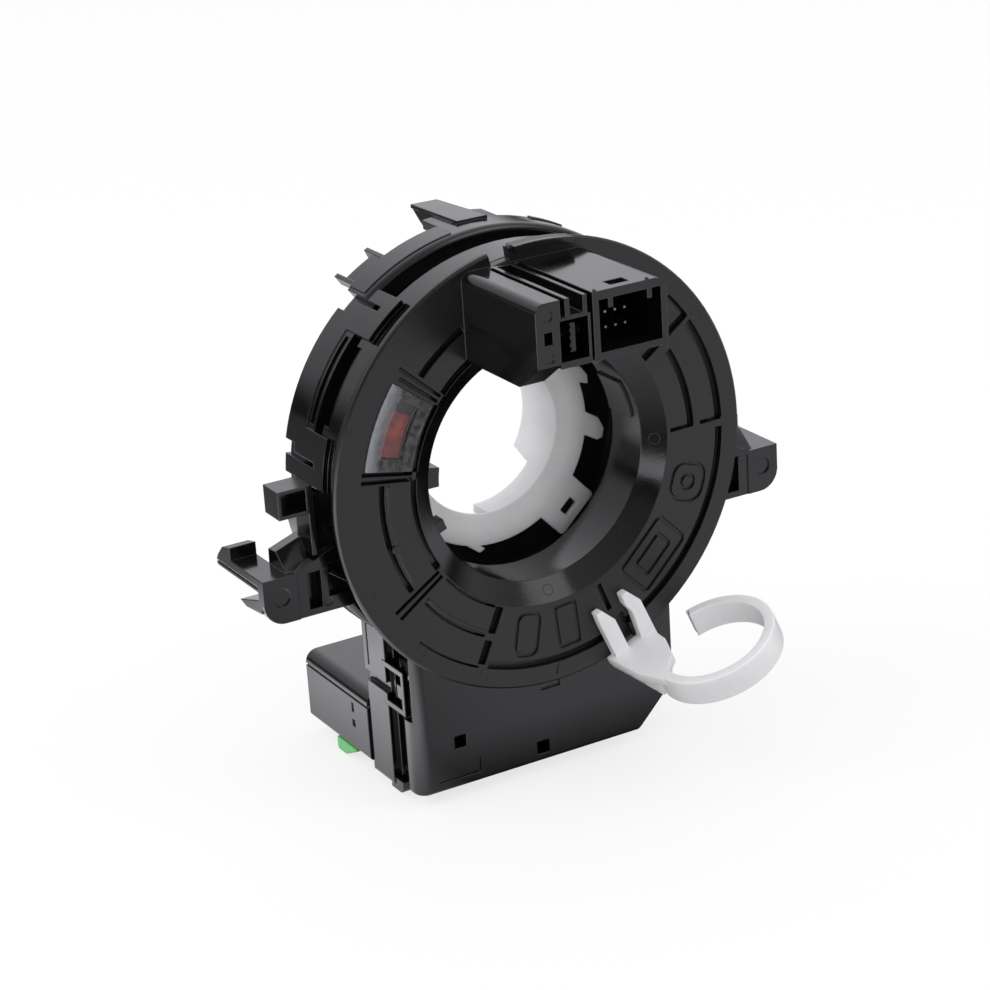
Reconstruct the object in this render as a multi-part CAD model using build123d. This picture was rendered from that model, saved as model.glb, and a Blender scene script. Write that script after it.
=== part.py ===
from build123d import *
import math
import os

# Steering clock spring: the ribbon contact unit between a steering column and the wheel.
#
# Frame: +X to the right, +Y back along the column, +Z up, in millimetres. The origin lies on the
# axis, in the middle of the hub ring's bore. A "depth" counts back from the rotor's front face.
# Angles are in degrees about the axis, from +X towards +Z.

# ---- Driving dimensions -------------------------------------------------------------------------
BORE_RADIUS = 19.0            # bore of the hub ring, over the steering column
BORE_FRONT = 26.3             # depth where the bore starts
BORE_LENGTH = 7.4             # full-round length of the bore
BEARING_CLEARANCE = 0.08      # radial play of a running fit
FREE_GAP = 0.4                # gap between parts that pass each other

RIM_RADIUS = 53.0             # outer radius of the rotor's face
FACE_THICKNESS = 2.2
FUNNEL_RADIUS = 33.2          # where the face turns down into the funnel
FUNNEL_DEPTH = 3.3
HUB_INNER = 28.0              # inside of the rotor's hub tube
HUB_WALL = 2.5
HUB_REAR = 15.5               # depth of the hub tube's rear end
GROOVE_DEPTH = 1.75           # relief grooves in the face
FACE_BACKING = 0.3            # the face is this much thicker behind the grooves
RIM_STEP = 0.35               # the rear half of the rim stands back this much

BAND_RADIUS = 50.0            # outside of the front casing's drum
BAND_WALL = 2.0
BAND_REAR = 14.0
FLOOR_THICKNESS = 1.6
COVER_STEP = 3.0              # the gear cover lies this much inside the band, in the dark groove
COVER_WALL = 1.6
DRUM_STEP = 1.0               # the rear drum lies this much inside the band
DRUM_WALL = 2.0
RAISED_STEP = 1.6             # the raised bands on the rear drum stand this much outside the band
PANEL_STEP = 1.0              # so do the latches and panels at its sides
DRUM_FRONT = 20.2
DRUM_REAR = 29.3
REAR_WALL = 1.4

BOX_LEFT = -36.5              # control box under the drum
BOX_RIGHT = 33.3
BOX_BOTTOM = -73.7
BOX_TOP = -36.0
BOX_CHAMFER = 10.4            # cut lower right corner
BOX_ROUND = 3.2               # upright front corner on the left
BOX_SPLIT = 15.0              # depth of the joint between the two box halves
BOX_REAR = 25.5
BOX_WALL = 1.8
REAR_DROP = 1.3               # the rear half reaches this much lower than the front half

GEAR_MODULE = 1.0
RING_TEETH = 76
GEAR_A_TEETH = 24
GEAR_B_TEETH = 22
GEAR_A_ANGLE = -73.0          # direction of each sensor gear from the axis
GEAR_B_ANGLE = -107.5
GEAR_WIDTH = 2.4
GEAR_FRONT = 20.6
TOOTH_PLAY = 0.12             # play on each flank at the pitch circle

KEY_ANGLE = -66.7             # direction of the lock key from the axis
KEY_BASE_RADIUS = 52.0        # side of the key's plate that faces the axis
KEY_RING_WIDTH = 6.5
KEY_RING_OUTER = 15.2
KEY_RING_INNER = 12.6

SHROUD_LEFT = -37.0           # rear plug socket
SHROUD_RIGHT = 12.0
SHROUD_TOP = -55.4
SHROUD_BOTTOM = -72.5
SHROUD_REAR = 57.0
SHROUD_WALL = 1.8
PIN_SIDE = 0.64

# ---- Sizes that follow from them ----------------------------------------------------------------
FACE_TO_ORIGIN = BORE_FRONT + BORE_LENGTH / 2
HUB_OUTER = HUB_INNER + HUB_WALL
CASING_FRONT = FACE_THICKNESS + FREE_GAP
CHAMBER_RADIUS = BAND_RADIUS - BAND_WALL
FLOOR_FRONT = BAND_REAR - FLOOR_THICKNESS
COVER_RADIUS = BAND_RADIUS - COVER_STEP
DRUM_RADIUS = BAND_RADIUS - DRUM_STEP
RAISED_RADIUS = BAND_RADIUS + RAISED_STEP
PANEL_RADIUS = BAND_RADIUS + PANEL_STEP
RING_PITCH = GEAR_MODULE * RING_TEETH / 2
EPS = 0.01


# ---- Helpers ------------------------------------------------------------------------------------
def plane_at(depth):
    """Sketch plane parallel to the face: sketch x is +X, sketch y is +Z."""
    return Plane(origin=(0, depth - FACE_TO_ORIGIN, 0), x_dir=(1, 0, 0), z_dir=(0, -1, 0))


def slab(sketch, front, rear):
    """Solid of a face-parallel sketch between two depths."""
    return extrude(plane_at(rear) * sketch, rear - front)


def block(x0, x1, front, rear, z0, z1):
    """Square-edged block between limits in X, depth and Z."""
    centre = Pos((x0 + x1) / 2, (front + rear) / 2 - FACE_TO_ORIGIN, (z0 + z1) / 2)
    return centre * Box(x1 - x0, rear - front, z1 - z0)


def disc(radius, front, rear):
    return slab(Circle(radius), front, rear)


def ring(outer, inner, front, rear):
    return slab(Circle(outer) - Circle(inner), front, rear)


def sector(outer, inner, start, stop):
    """Flat ring segment between two angles."""
    sweep = stop - start
    outside = CenterArc((0, 0), outer, start, sweep)
    inside = CenterArc((0, 0), inner, start, sweep)
    return make_face([outside, inside, Line(outside @ 0, inside @ 0), Line(outside @ 1, inside @ 1)])


def arc_block(outer, inner, start, stop, front, rear):
    return slab(sector(outer, inner, start, stop), front, rear)


def radial_bar(inner, outer, width, angle, offset=0.0):
    """Flat bar that points away from the axis, shifted sideways by offset."""
    bar = Pos((inner + outer) / 2, offset) * Rectangle(outer - inner, width)
    return Rot(0, 0, angle) * bar


def outline(points):
    return make_face(Polyline(*points, close=True))


def turned(points):
    """Solid of revolution of (radius, depth) points about the axis."""
    return revolve(outline([(r, d - FACE_TO_ORIGIN) for r, d in points]), Axis.Y)


def side_prism(points, x0, x1):
    """Prism along X of (depth, z) points."""
    side = Plane(origin=(x0, 0, 0), x_dir=(0, 1, 0), z_dir=(1, 0, 0))
    return extrude(side * outline([(d - FACE_TO_ORIGIN, z) for d, z in points]), x1 - x0)


def radial_prism(points, angle, inner, outer):
    """Prism away from the axis of (depth, sideways) points; sideways counts with the angle."""
    across = Plane(origin=(inner, 0, 0), x_dir=(0, 1, 0), z_dir=(1, 0, 0))
    prism = extrude(across * outline([(d - FACE_TO_ORIGIN, side) for d, side in points]), outer - inner)
    return prism.rotate(Axis.Y, -angle)


def mirrored(solid):
    return mirror(solid, Plane.YZ)


def polar(radius, angle):
    return (radius * math.cos(math.radians(angle)), radius * math.sin(math.radians(angle)))


def gear_outline(teeth, play=TOOTH_PLAY, steps=4):
    """Involute gear outline, with a tooth centred on the sketch's x axis."""
    pitch = GEAR_MODULE * teeth / 2
    pressure = math.radians(20)
    base = pitch * math.cos(pressure)
    tip = pitch + GEAR_MODULE
    root = pitch - 1.25 * GEAR_MODULE
    half = math.pi / (2 * teeth) - play / pitch + math.tan(pressure) - pressure
    start = max(base, root)
    points = []
    for tooth in range(teeth):
        centre = 2 * math.pi * tooth / teeth
        flank = []
        for step in range(steps + 1):
            radius = start + (tip - start) * step / steps
            roll = math.acos(min(1.0, base / radius))
            flank.append((radius, half - (math.tan(roll) - roll)))
        rising = [(root, flank[0][1])] + flank if start > root + EPS else flank
        for radius, angle in rising:
            points.append((radius * math.cos(centre - angle), radius * math.sin(centre - angle)))
        for radius, angle in reversed(rising):
            points.append((radius * math.cos(centre + angle), radius * math.sin(centre + angle)))
    return outline(points)


# ---- Connector block on the rotor's face --------------------------------------------------------
BLOCK_FRONT = -31.0           # the block's front end stands this far in front of the face
BLOCK_LEFT = -18.0
BLOCK_RIGHT = 14.7
BLOCK_TOP = 49.0
BLOCK_BOTTOM = 33.8
AIRBAG_LEFT = -12.2           # narrow socket for the airbag lead
AIRBAG_RIGHT = -5.2
AIRBAG_BOTTOM = 35.2
AIRBAG_TOP = 44.3
AIRBAG_DEEP = 18.0
SIGNAL_LEFT = -2.4            # wide socket for the switches' lead
SIGNAL_RIGHT = 13.2
SIGNAL_BOTTOM = 35.3
SIGNAL_TOP = 47.0
SIGNAL_DEEP = 20.0
SIGNAL_PITCH = 2.5
SIGNAL_COLUMNS = 3
SIGNAL_ROWS = (38.4, 41.9)
BLADES = ((-10.9, 39.7), (-6.5, 39.7))
BLADE_WIDTH = 0.8
BLADE_HEIGHT = 2.2
PIN_SHY = 6.3                 # pin tips stay this far inside a socket's mouth


def signal_pins():
    first = (SIGNAL_LEFT + SIGNAL_RIGHT - SIGNAL_PITCH * (SIGNAL_COLUMNS - 1)) / 2
    pins = Part()
    for column in range(SIGNAL_COLUMNS):
        x = first + SIGNAL_PITCH * column
        for z in SIGNAL_ROWS:
            pin = slab(Pos(x, z) * Rectangle(PIN_SIDE, PIN_SIDE), BLOCK_FRONT + PIN_SHY, FACE_THICKNESS)
            pins += pin
    return pins


def airbag_terminals():
    blades = Part()
    for x, z in BLADES:
        blade = Pos(x, z) * Rectangle(BLADE_WIDTH, BLADE_HEIGHT)
        blades += slab(blade, BLOCK_FRONT + PIN_SHY, FACE_THICKNESS)
    return blades


def connector_block():
    edge_round = 2.2
    left = side_prism(
        [(FACE_THICKNESS, 29.0), (-22.6, 29.0), (BLOCK_FRONT, 34.9), (BLOCK_FRONT, BLOCK_TOP),
         (FACE_THICKNESS, BLOCK_TOP)], BLOCK_LEFT, AIRBAG_LEFT + 0.4)
    left = fillet(left.edges().filter_by(Axis.Y).group_by(Axis.Z)[-1].group_by(Axis.X)[0], edge_round)
    right = block(AIRBAG_LEFT, BLOCK_RIGHT, BLOCK_FRONT, FACE_THICKNESS, BLOCK_BOTTOM, BLOCK_TOP)
    right = fillet(right.edges().filter_by(Axis.Y).group_by(Axis.X)[-1].sort_by(Axis.Z)[-1], 3.2)
    right = fillet(right.edges().filter_by(Axis.Y).group_by(Axis.Z)[0].sort_by(Axis.X)[-1], 1.2)
    body = left + right

    # Open channels along the top, between the two housings.
    channel_floor = 45.2
    far = 1.0
    for x0, x1, low in ((-11.9, -10.7, 44.9), (-9.6, -6.3, channel_floor), (-5.3, -3.9, 44.9)):
        body -= block(x0, x1, BLOCK_FRONT - far, -1.2, low, BLOCK_TOP + far)
    # Seam between the housings on the front and underside.
    body -= block(-4.6, -3.9, BLOCK_FRONT - far, BLOCK_FRONT + 3.0, BLOCK_BOTTOM - far, BLOCK_TOP)

    # Airbag socket with its centre tongue and side keyways.
    body -= block(AIRBAG_LEFT, AIRBAG_RIGHT, BLOCK_FRONT - far, BLOCK_FRONT + AIRBAG_DEEP,
                  AIRBAG_BOTTOM, AIRBAG_TOP)
    body += block(-9.4, -8.0, BLOCK_FRONT + 0.8, BLOCK_FRONT + AIRBAG_DEEP + EPS, 36.8, 43.2)
    for z in (37.6, 39.2, 40.8, 42.4):
        body -= block(-9.6, -9.1, BLOCK_FRONT, BLOCK_FRONT + 9.0, z - 0.35, z + 0.35)
    # Signal socket with two keys under its roof.
    body -= block(SIGNAL_LEFT, SIGNAL_RIGHT, BLOCK_FRONT - far, BLOCK_FRONT + SIGNAL_DEEP,
                  SIGNAL_BOTTOM, SIGNAL_TOP)
    for x0, x1 in ((0.2, 1.4), (10.0, 11.2)):
        body += block(x0, x1, BLOCK_FRONT + 0.4, BLOCK_FRONT + SIGNAL_DEEP, 44.7, SIGNAL_TOP + EPS)
    # Latch window in the roof, coding slot and two mould marks on the left wall's end.
    body -= block(2.0, 6.6, BLOCK_FRONT + 2.2, BLOCK_FRONT + 5.2, SIGNAL_TOP - EPS, BLOCK_TOP + far)
    body -= block(-16.1, -14.0, BLOCK_FRONT - far, BLOCK_FRONT + 5.0, 39.7, 42.5)
    for x, z, radius in ((-15.0, 46.0, 1.2), (-14.8, 36.6, 1.0)):
        body -= slab(Pos(x, z) * Circle(radius), BLOCK_FRONT - far, BLOCK_FRONT + 0.3)
    # Lug at the lower right corner and nibs at the top front corners.
    body += slab(Pos(BLOCK_RIGHT - 0.9, BLOCK_BOTTOM + 0.1) * Circle(0.9), BLOCK_FRONT, BLOCK_FRONT + 2.0)
    for x in (-3.4, BLOCK_RIGHT - 5.0):
        body += block(x, x + 0.5, BLOCK_FRONT, BLOCK_FRONT + 0.7, BLOCK_TOP - EPS, BLOCK_TOP + 0.45)
    return body


# ---- Rotor --------------------------------------------------------------------------------------
# Relief grooves, each as outer radius, inner radius, first angle and last angle.
ARC_GROOVES = (
    (48.3, 46.3, 1.2, 33.0),
    (48.4, 47.5, 34.4, 43.5),
    (48.3, 46.4, -112.0, -1.6),
    (40.5, 38.7, 1.2, 30.4),
    (42.1, 40.7, 172.5, 210.5),
    (34.3, 32.6, 171.5, 211.0),
    (34.0, 32.6, 141.6, 168.4),
    (41.6, 39.9, 117.0, 136.5),
    (34.4, 32.6, 120.0, 136.9),
    (41.2, 40.6, 217.0, 243.6),
    (34.0, 33.4, 217.0, 243.6),
    (48.5, 48.0, 224.0, 245.0),
)
# Straight grooves, each as inner radius, outer radius, width and angle.
BAR_GROOVES = (
    (34.0, 40.4, 1.0, 1.2),
    (42.2, 48.0, 1.0, 1.1),
    (33.8, 47.9, 1.8, 35.3),
    (33.6, 46.5, 0.7, 138.1),
    (33.6, 45.2, 0.7, 140.4),
    (34.0, 46.6, 0.9, 171.2),
    (34.0, 46.6, 0.9, 168.9),
    (33.8, 47.4, 0.8, 212.2),
    (33.8, 47.4, 0.8, 214.6),
    (33.6, 40.0, 2.0, -114.2),
    (41.8, 47.5, 2.0, -114.3),
    (34.4, 42.0, 1.2, -68.6),
)
# Plain moulded frames in the face: direction, radius, radial length, width and corner radius.
FACE_FRAMES = (
    (-100.0, 40.0, 11.0, 6.6, 2.4),
    (-84.6, 39.8, 11.0, 6.2, 1.2),
    (-45.6, 39.6, 10.4, 16.4, 1.6),
    (-45.6, 39.6, 5.2, 9.8, 1.0),
    (-18.6, 40.2, 9.6, 9.6, 3.4),
    (-18.6, 40.2, 4.2, 4.2, 2.0),
)
FRAME_LINE = 0.8
FRAME_DEPTH = 0.55
LENS_OUTER = (46.0, 34.4, 142.5, 168.0)
LENS_PANE = (42.9, 37.1, 145.0, 164.4)
LENS_REBATE = 0.6             # the shallow rebate in the pane's front is this much smaller all round
LENS_RECESS = 0.7
FACE_SLOPE = 1.6              # wall of the slope behind the funnel
RIM_GAP = (96.5, 102.0)       # notch in the rim
RIM_LIP = (79.0, 95.5)        # raised lip beside it
KEY_PEGS = (-4.2, 3.5)        # sideways places of the key's pegs
KEY_PEG_RADIUS = 0.95
KEY_PEG_RADIAL = 44.8
KEY_PEG_LENGTH = 1.0
KEY_SLOT = (44.6, -0.35, 3.0)   # notch from the rim between the prongs: inner end, side and width


def key_place(solid):
    """Turns a piece made in the key's own frame (x away from the axis) to its angle."""
    return solid.rotate(Axis.Y, -KEY_ANGLE)


def rotor_housing():
    edge = 0.5
    body = turned([
        (FUNNEL_RADIUS, 0), (RIM_RADIUS - edge, 0), (RIM_RADIUS, edge), (RIM_RADIUS, FACE_THICKNESS / 2),
        (RIM_RADIUS - RIM_STEP, FACE_THICKNESS / 2), (RIM_RADIUS - RIM_STEP, FACE_THICKNESS),
        (FUNNEL_RADIUS + FACE_SLOPE, FACE_THICKNESS), (HUB_OUTER, FUNNEL_DEPTH + FACE_SLOPE),
        (HUB_OUTER, HUB_REAR),
        (HUB_INNER, HUB_REAR), (HUB_INNER, FUNNEL_DEPTH)])
    backing = FACE_THICKNESS + FACE_BACKING
    body += ring(CHAMBER_RADIUS - FREE_GAP, FUNNEL_RADIUS + FACE_SLOPE, FACE_THICKNESS - EPS, backing)
    body += connector_block()

    front = -edge
    for groove in ARC_GROOVES:
        body -= slab(sector(*groove), front, GROOVE_DEPTH)
    for groove in BAR_GROOVES:
        body -= slab(radial_bar(*groove), front, GROOVE_DEPTH)

    for angle, radius, long, wide, corner in FACE_FRAMES:
        frame = RectangleRounded(long, wide, corner)
        frame -= RectangleRounded(long - 2 * FRAME_LINE, wide - 2 * FRAME_LINE, max(corner - FRAME_LINE, 0.3))
        body -= slab(Pos(*polar(radius, angle)) * (Rot(0, 0, angle) * frame), front, FRAME_DEPTH)
    tick = Pos(0.4, -50.0) * (Rot(0, 0, -15) * Rectangle(0.4, 2.4))
    body -= slab(tick, front, FRAME_DEPTH / 2)

    # Seat and window of the lens.
    body -= slab(sector(*LENS_OUTER), front, LENS_RECESS)
    body -= slab(sector(*LENS_PANE), front, FACE_THICKNESS + edge)

    # Rim notch and the raised lip over the connectors.
    body -= arc_block(RIM_RADIUS + 1, RIM_RADIUS - 3.0, *RIM_GAP, front, FACE_THICKNESS + edge)
    body += arc_block(RIM_RADIUS, RIM_RADIUS - 1.5, *RIM_LIP, -1.4, FACE_THICKNESS)

    # Thin ribs that stand on the left half of the face.
    body += arc_block(40.1, 39.4, 173.0, 208.0, -0.3, 0.6)
    body += arc_block(40.2, 39.5, 217.0, 244.0, -0.3, 0.6)
    body += slab(Pos(*polar(40.2, 194.5)) * Circle(1.0), -0.4, 0.6)

    # Notch and sockets for the key.
    inner, side, width = KEY_SLOT
    body -= slab(radial_bar(inner, RIM_RADIUS + 1, width, KEY_ANGLE, side), front, GROOVE_DEPTH)
    for offset in KEY_PEGS:
        socket = Pos(KEY_PEG_RADIAL, offset) * Circle(KEY_PEG_RADIUS + FREE_GAP / 2)
        body -= slab(Rot(0, 0, KEY_ANGLE) * socket, front, KEY_PEG_LENGTH + FREE_GAP)

    # Nibs and stops inside the hub tube.
    body += arc_block(HUB_INNER + 1, 25.0, 169.5, 179.5, FUNNEL_DEPTH + 0.6, 8.0)
    body += arc_block(HUB_INNER + 1, 25.8, 197.0, 203.0, FUNNEL_DEPTH + 0.6, 7.0)
    body += arc_block(HUB_INNER + 1, HUB_INNER - 0.5, 8.0, 28.0, 6.0, HUB_REAR)
    return body - signal_pins() - airbag_terminals()


def window_lens():
    plate = slab(sector(*LENS_OUTER), -0.5, LENS_RECESS)
    pane = slab(sector(*LENS_PANE), LENS_RECESS - EPS, FACE_THICKNESS - 0.2)
    outer, inner, start, stop = LENS_PANE
    turn = math.degrees(LENS_REBATE / inner)
    pocket = sector(outer - LENS_REBATE, inner + LENS_REBATE, start + turn, stop - turn)
    rebate = slab(pocket, -1.0, -0.25)
    return plate + pane - rebate


def inner_terminal():
    return arc_block(HUB_OUTER + 1.0, HUB_OUTER, 80, 100, 5.2, 11.4)


# ---- Gear ring and hub ring, which turn with the rotor -------------------------------------------
NECK_OUTER = 33.0
NECK_FRONT = 12.8
CUP_OUTER = 36.0
CUP_INNER = 34.3
COLLAR_RADIUS = 28.0          # hole in the rear casing that the collar runs in
COLLAR_INNER = 25.6
HUB_RING_FRONT = 24.7
HUB_RING_REAR = 26.5
CUP_REAR = 27.5
COLLAR_REAR = 29.7
TUBE_WALL = 2.0
TUBE_STEP = 33.7              # rear end of the plain part of the bore
CAM_REAR = 42.4               # rear end of the long cam tab
CAM_SPAN = (-38.5, 62.0)
CAM_RELIEF = 0.3              # the cam tab's inside stands back from the bore by this
NOTCH_SPAN = (232.0, 268.0)
TAB_ANGLE = -47.5
TAB_REACH = 33.8
TAB_WIDTH = 12.6
TAB_HOLE = (28.8, 31.4, 4.0)  # inner radius, outer radius and width of the snap hole


def gear_ring():
    collar = COLLAR_RADIUS - BEARING_CLEARANCE
    body = turned([
        (HUB_OUTER, NECK_FRONT), (NECK_OUTER, NECK_FRONT), (NECK_OUTER, 19.0), (CUP_OUTER, 20.0),
        (CUP_OUTER, CUP_REAR), (collar, CUP_REAR), (collar, COLLAR_REAR), (COLLAR_INNER, COLLAR_REAR),
        (COLLAR_INNER, HUB_RING_REAR), (CUP_INNER, HUB_RING_REAR), (CUP_INNER, 21.0), (HUB_OUTER, 19.4)])
    teeth = gear_outline(RING_TEETH) - Circle(CUP_OUTER - 0.6)
    body += slab(teeth, GEAR_FRONT, GEAR_FRONT + GEAR_WIDTH)
    hole_in, hole_out, width = TAB_HOLE
    peg = radial_bar(hole_in + 0.2, hole_out - 0.2, width - 0.4, TAB_ANGLE)
    return body + slab(peg, HUB_RING_REAR - 1.0, HUB_RING_REAR + EPS)


def hub_ring():
    funnel = 23.5
    flange = 26.4
    tube = BORE_RADIUS + TUBE_WALL
    body = turned([
        (BORE_RADIUS, BORE_FRONT), (funnel, HUB_RING_FRONT), (flange, HUB_RING_FRONT),
        (flange, HUB_RING_REAR), (tube, HUB_RING_REAR), (tube, CAM_REAR),
        (BORE_RADIUS + CAM_RELIEF, CAM_REAR), (BORE_RADIUS + CAM_RELIEF, TUBE_STEP), (BORE_RADIUS, TUBE_STEP)])
    # Only the cam tab runs on behind the bore, with a slanted lower end; below, the tube is notched.
    first, last = CAM_SPAN
    body -= arc_block(tube + 1, BORE_RADIUS - 1, last, first + 360, TUBE_STEP, CAM_REAR + 1)
    slant = [(TUBE_STEP, -0.4), (CAM_REAR + 1, 2.0), (CAM_REAR + 1, -4.0), (TUBE_STEP, -4.0)]
    body -= radial_prism(slant, first, BORE_RADIUS - 2, tube + 2)
    body += arc_block(tube + 1.6, tube - 0.5, 18.0, 32.0, TUBE_STEP - 2, CAM_REAR - 2)
    body -= arc_block(tube + 1, BORE_RADIUS - 1, *NOTCH_SPAN, HUB_RING_REAR + 0.6, TUBE_STEP + 1)
    # Snap tab with its hole.
    tab = radial_bar(flange - 2.0, TAB_REACH, TAB_WIDTH, TAB_ANGLE)
    tab = fillet(tab.vertices().sort_by_distance((0, 0, 0))[-2:], 1.0)
    hole_in, hole_out, width = TAB_HOLE
    tab -= radial_bar(hole_in, hole_out, width, TAB_ANGLE)
    # Snap arms: a straight one below, a hooked one on the right and a short one above it.
    arm = outline([(-12.0, -19.2), (-12.9, -20.8), (-10.9, -22.9), (-4.5, -27.8), (-2.9, -27.1),
                   (-6.4, -24.2), (-6.0, -22.4)])
    hook = outline([(22.8, 3.2), (27.3, -0.3), (29.8, -1.8), (31.3, -4.9), (30.8, -7.1), (29.2, -7.4),
                    (27.2, -6.2), (24.0, -4.2)])
    short = outline([(21.0, 12.6), (25.6, 11.9), (27.4, 9.4), (27.5, 7.1), (23.2, 8.6)])
    plate = tab + arm + hook + short
    plate -= Circle(flange - 1.2)
    return body + slab(plate, HUB_RING_FRONT, HUB_RING_REAR)


# ---- Ribbon and its guide ------------------------------------------------------------------------
RIBBON_THICKNESS = 0.35
RIBBON_WIDTH = 7.2
RIBBON_PITCH = 0.8            # radial step from one turn to the next
RIBBON_TURNS = 3
RIBBON_FRONT = 4.6
HUB_SLACK = 1.7               # between the hub tube and the middle of the innermost turn
WALL_SLACK = 0.9              # between the drum's wall and the middle of the outermost turn
INNER_COIL = HUB_OUTER + HUB_SLACK
OUTER_COIL = CHAMBER_RADIUS - WALL_SLACK
HORN_ANGLE = 250.0            # where the ribbon turns back
GUIDE_FRONT = 2.9
GUIDE_THICKNESS = 1.2
MARKER = (43.8, 36.4, 149.3, 166.0)


def ribbon_line():
    """Middle line of the ribbon: inner turns, turn-back, outer turns the other way."""
    per_turn = 40
    steps = per_turn * RIBBON_TURNS
    points = []
    for step in range(steps + 1):
        radius = INNER_COIL + RIBBON_PITCH * step / per_turn
        points.append(polar(radius, HORN_ANGLE - 360 * (steps - step) / per_turn))
    inner = INNER_COIL + RIBBON_PITCH * RIBBON_TURNS
    outer = OUTER_COIL - RIBBON_PITCH * RIBBON_TURNS
    middle = (inner + outer) / 2
    bend = (outer - inner) / 2
    bend_steps = 12
    for step in range(1, bend_steps):
        turn = math.pi * step / bend_steps
        radial = middle - bend * math.cos(turn)
        along = bend * math.sin(turn)
        a = math.radians(HORN_ANGLE)
        points.append((radial * math.cos(a) - along * math.sin(a), radial * math.sin(a) + along * math.cos(a)))
    for step in range(steps + 1):
        radius = outer + RIBBON_PITCH * step / per_turn
        points.append(polar(radius, HORN_ANGLE - 360 * step / per_turn))
    return points


def ribbon_cable():
    line = ribbon_line()
    left = []
    right = []
    for index, (x, y) in enumerate(line):
        before = line[max(index - 1, 0)]
        after = line[min(index + 1, len(line) - 1)]
        length = math.hypot(after[0] - before[0], after[1] - before[1])
        across = ((before[1] - after[1]) / length, (after[0] - before[0]) / length)
        half = RIBBON_THICKNESS / 2
        left.append((x + half * across[0], y + half * across[1]))
        right.append((x - half * across[0], y - half * across[1]))
    return slab(outline(left + right[::-1]), RIBBON_FRONT, RIBBON_FRONT + RIBBON_WIDTH)


def ribbon_guide():
    rear = GUIDE_FRONT + GUIDE_THICKNESS
    outer = CHAMBER_RADIUS - FREE_GAP
    body = ring(outer, FUNNEL_RADIUS + FACE_SLOPE + FREE_GAP, GUIDE_FRONT, rear)
    inner_edge = INNER_COIL + RIBBON_PITCH * RIBBON_TURNS
    outer_edge = OUTER_COIL - RIBBON_PITCH * RIBBON_TURNS
    middle = (inner_edge + outer_edge) / 2
    horn = (outer_edge - inner_edge) / 2 - RIBBON_THICKNESS / 2 - 0.3
    tall = RIBBON_FRONT + RIBBON_WIDTH
    body += slab(Pos(*polar(middle, HORN_ANGLE)) * (Circle(horn) - Circle(horn - 1.2)), rear - EPS, tall)
    for step in range(1, 6):
        body += slab(Pos(*polar(middle, HORN_ANGLE - 60 * step)) * Circle(1.8), rear - EPS, tall)
    return body - slab(sector(*MARKER), GUIDE_FRONT - 1, GUIDE_FRONT + 0.7)


def centre_marker():
    return slab(sector(*MARKER), GUIDE_FRONT - 0.1, GUIDE_FRONT + 0.7)


# ---- Front casing --------------------------------------------------------------------------------
BRACKET_FRONT = 7.0
BRACKET_THICKNESS = 2.6
BRACKET_REACH = 68.5
BRACKET_TOP = -12.6
BRACKET_BOTTOM = -23.5
ARM_INNER = 62.0
ARM_THICKNESS = 3.1
HOOK_FRONT = 23.2
HOOK_REAR = 31.0
HOOK_TOP = -9.6
STANDOFFS = ((-31.0, -55.0), (-31.0, -69.6), (18.0, -69.6), (28.5, -56.0))
STANDOFF_RADIUS = 1.8
BOARD_FRONT = 15.4
BOARD_THICKNESS = 1.6
SIDE_POCKET = 3.2             # depth of the pockets in the box's sides
POCKET_FRONT = 4.2            # the latch's pocket starts here, and the one below it further back
RECESS_FRONT = 7.2
SLOT_DEPTH = 3.4              # blind slot in each bracket's plate, with its boss behind
LATCH_BAR = 7.6               # rear side of the side latch's front bar
POCKET_WALL_INSET = 1.6       # the wall behind the side pockets stands this far inside the box's side
LEADS = (-3.0, -1.0, 1.0, 3.0)
TERMINAL_SPAN = (264.0, 276.0)
TERMINAL_OUTER = 52.0


def box_outline(inset=0.0, drop=0.0):
    """Control box seen from the front, drawn in by a wall when inset is given."""
    left = BOX_LEFT + inset
    right = BOX_RIGHT - inset
    low = BOX_BOTTOM + inset - drop
    cut = BOX_CHAMFER - inset * (2 - math.sqrt(2))
    return outline([(left, BOX_TOP), (left, low), (right - cut, low), (right, low + cut), (right, BOX_TOP)])


def outer_terminal():
    body = arc_block(TERMINAL_OUTER, CHAMBER_RADIUS - 0.2, *TERMINAL_SPAN, 5.0, 11.2)
    for x in LEADS:
        body += block(x - 0.4, x + 0.4, 11.2 - EPS, BOARD_FRONT, -TERMINAL_OUTER + 0.3, -TERMINAL_OUTER + 1.1)
    return body


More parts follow.
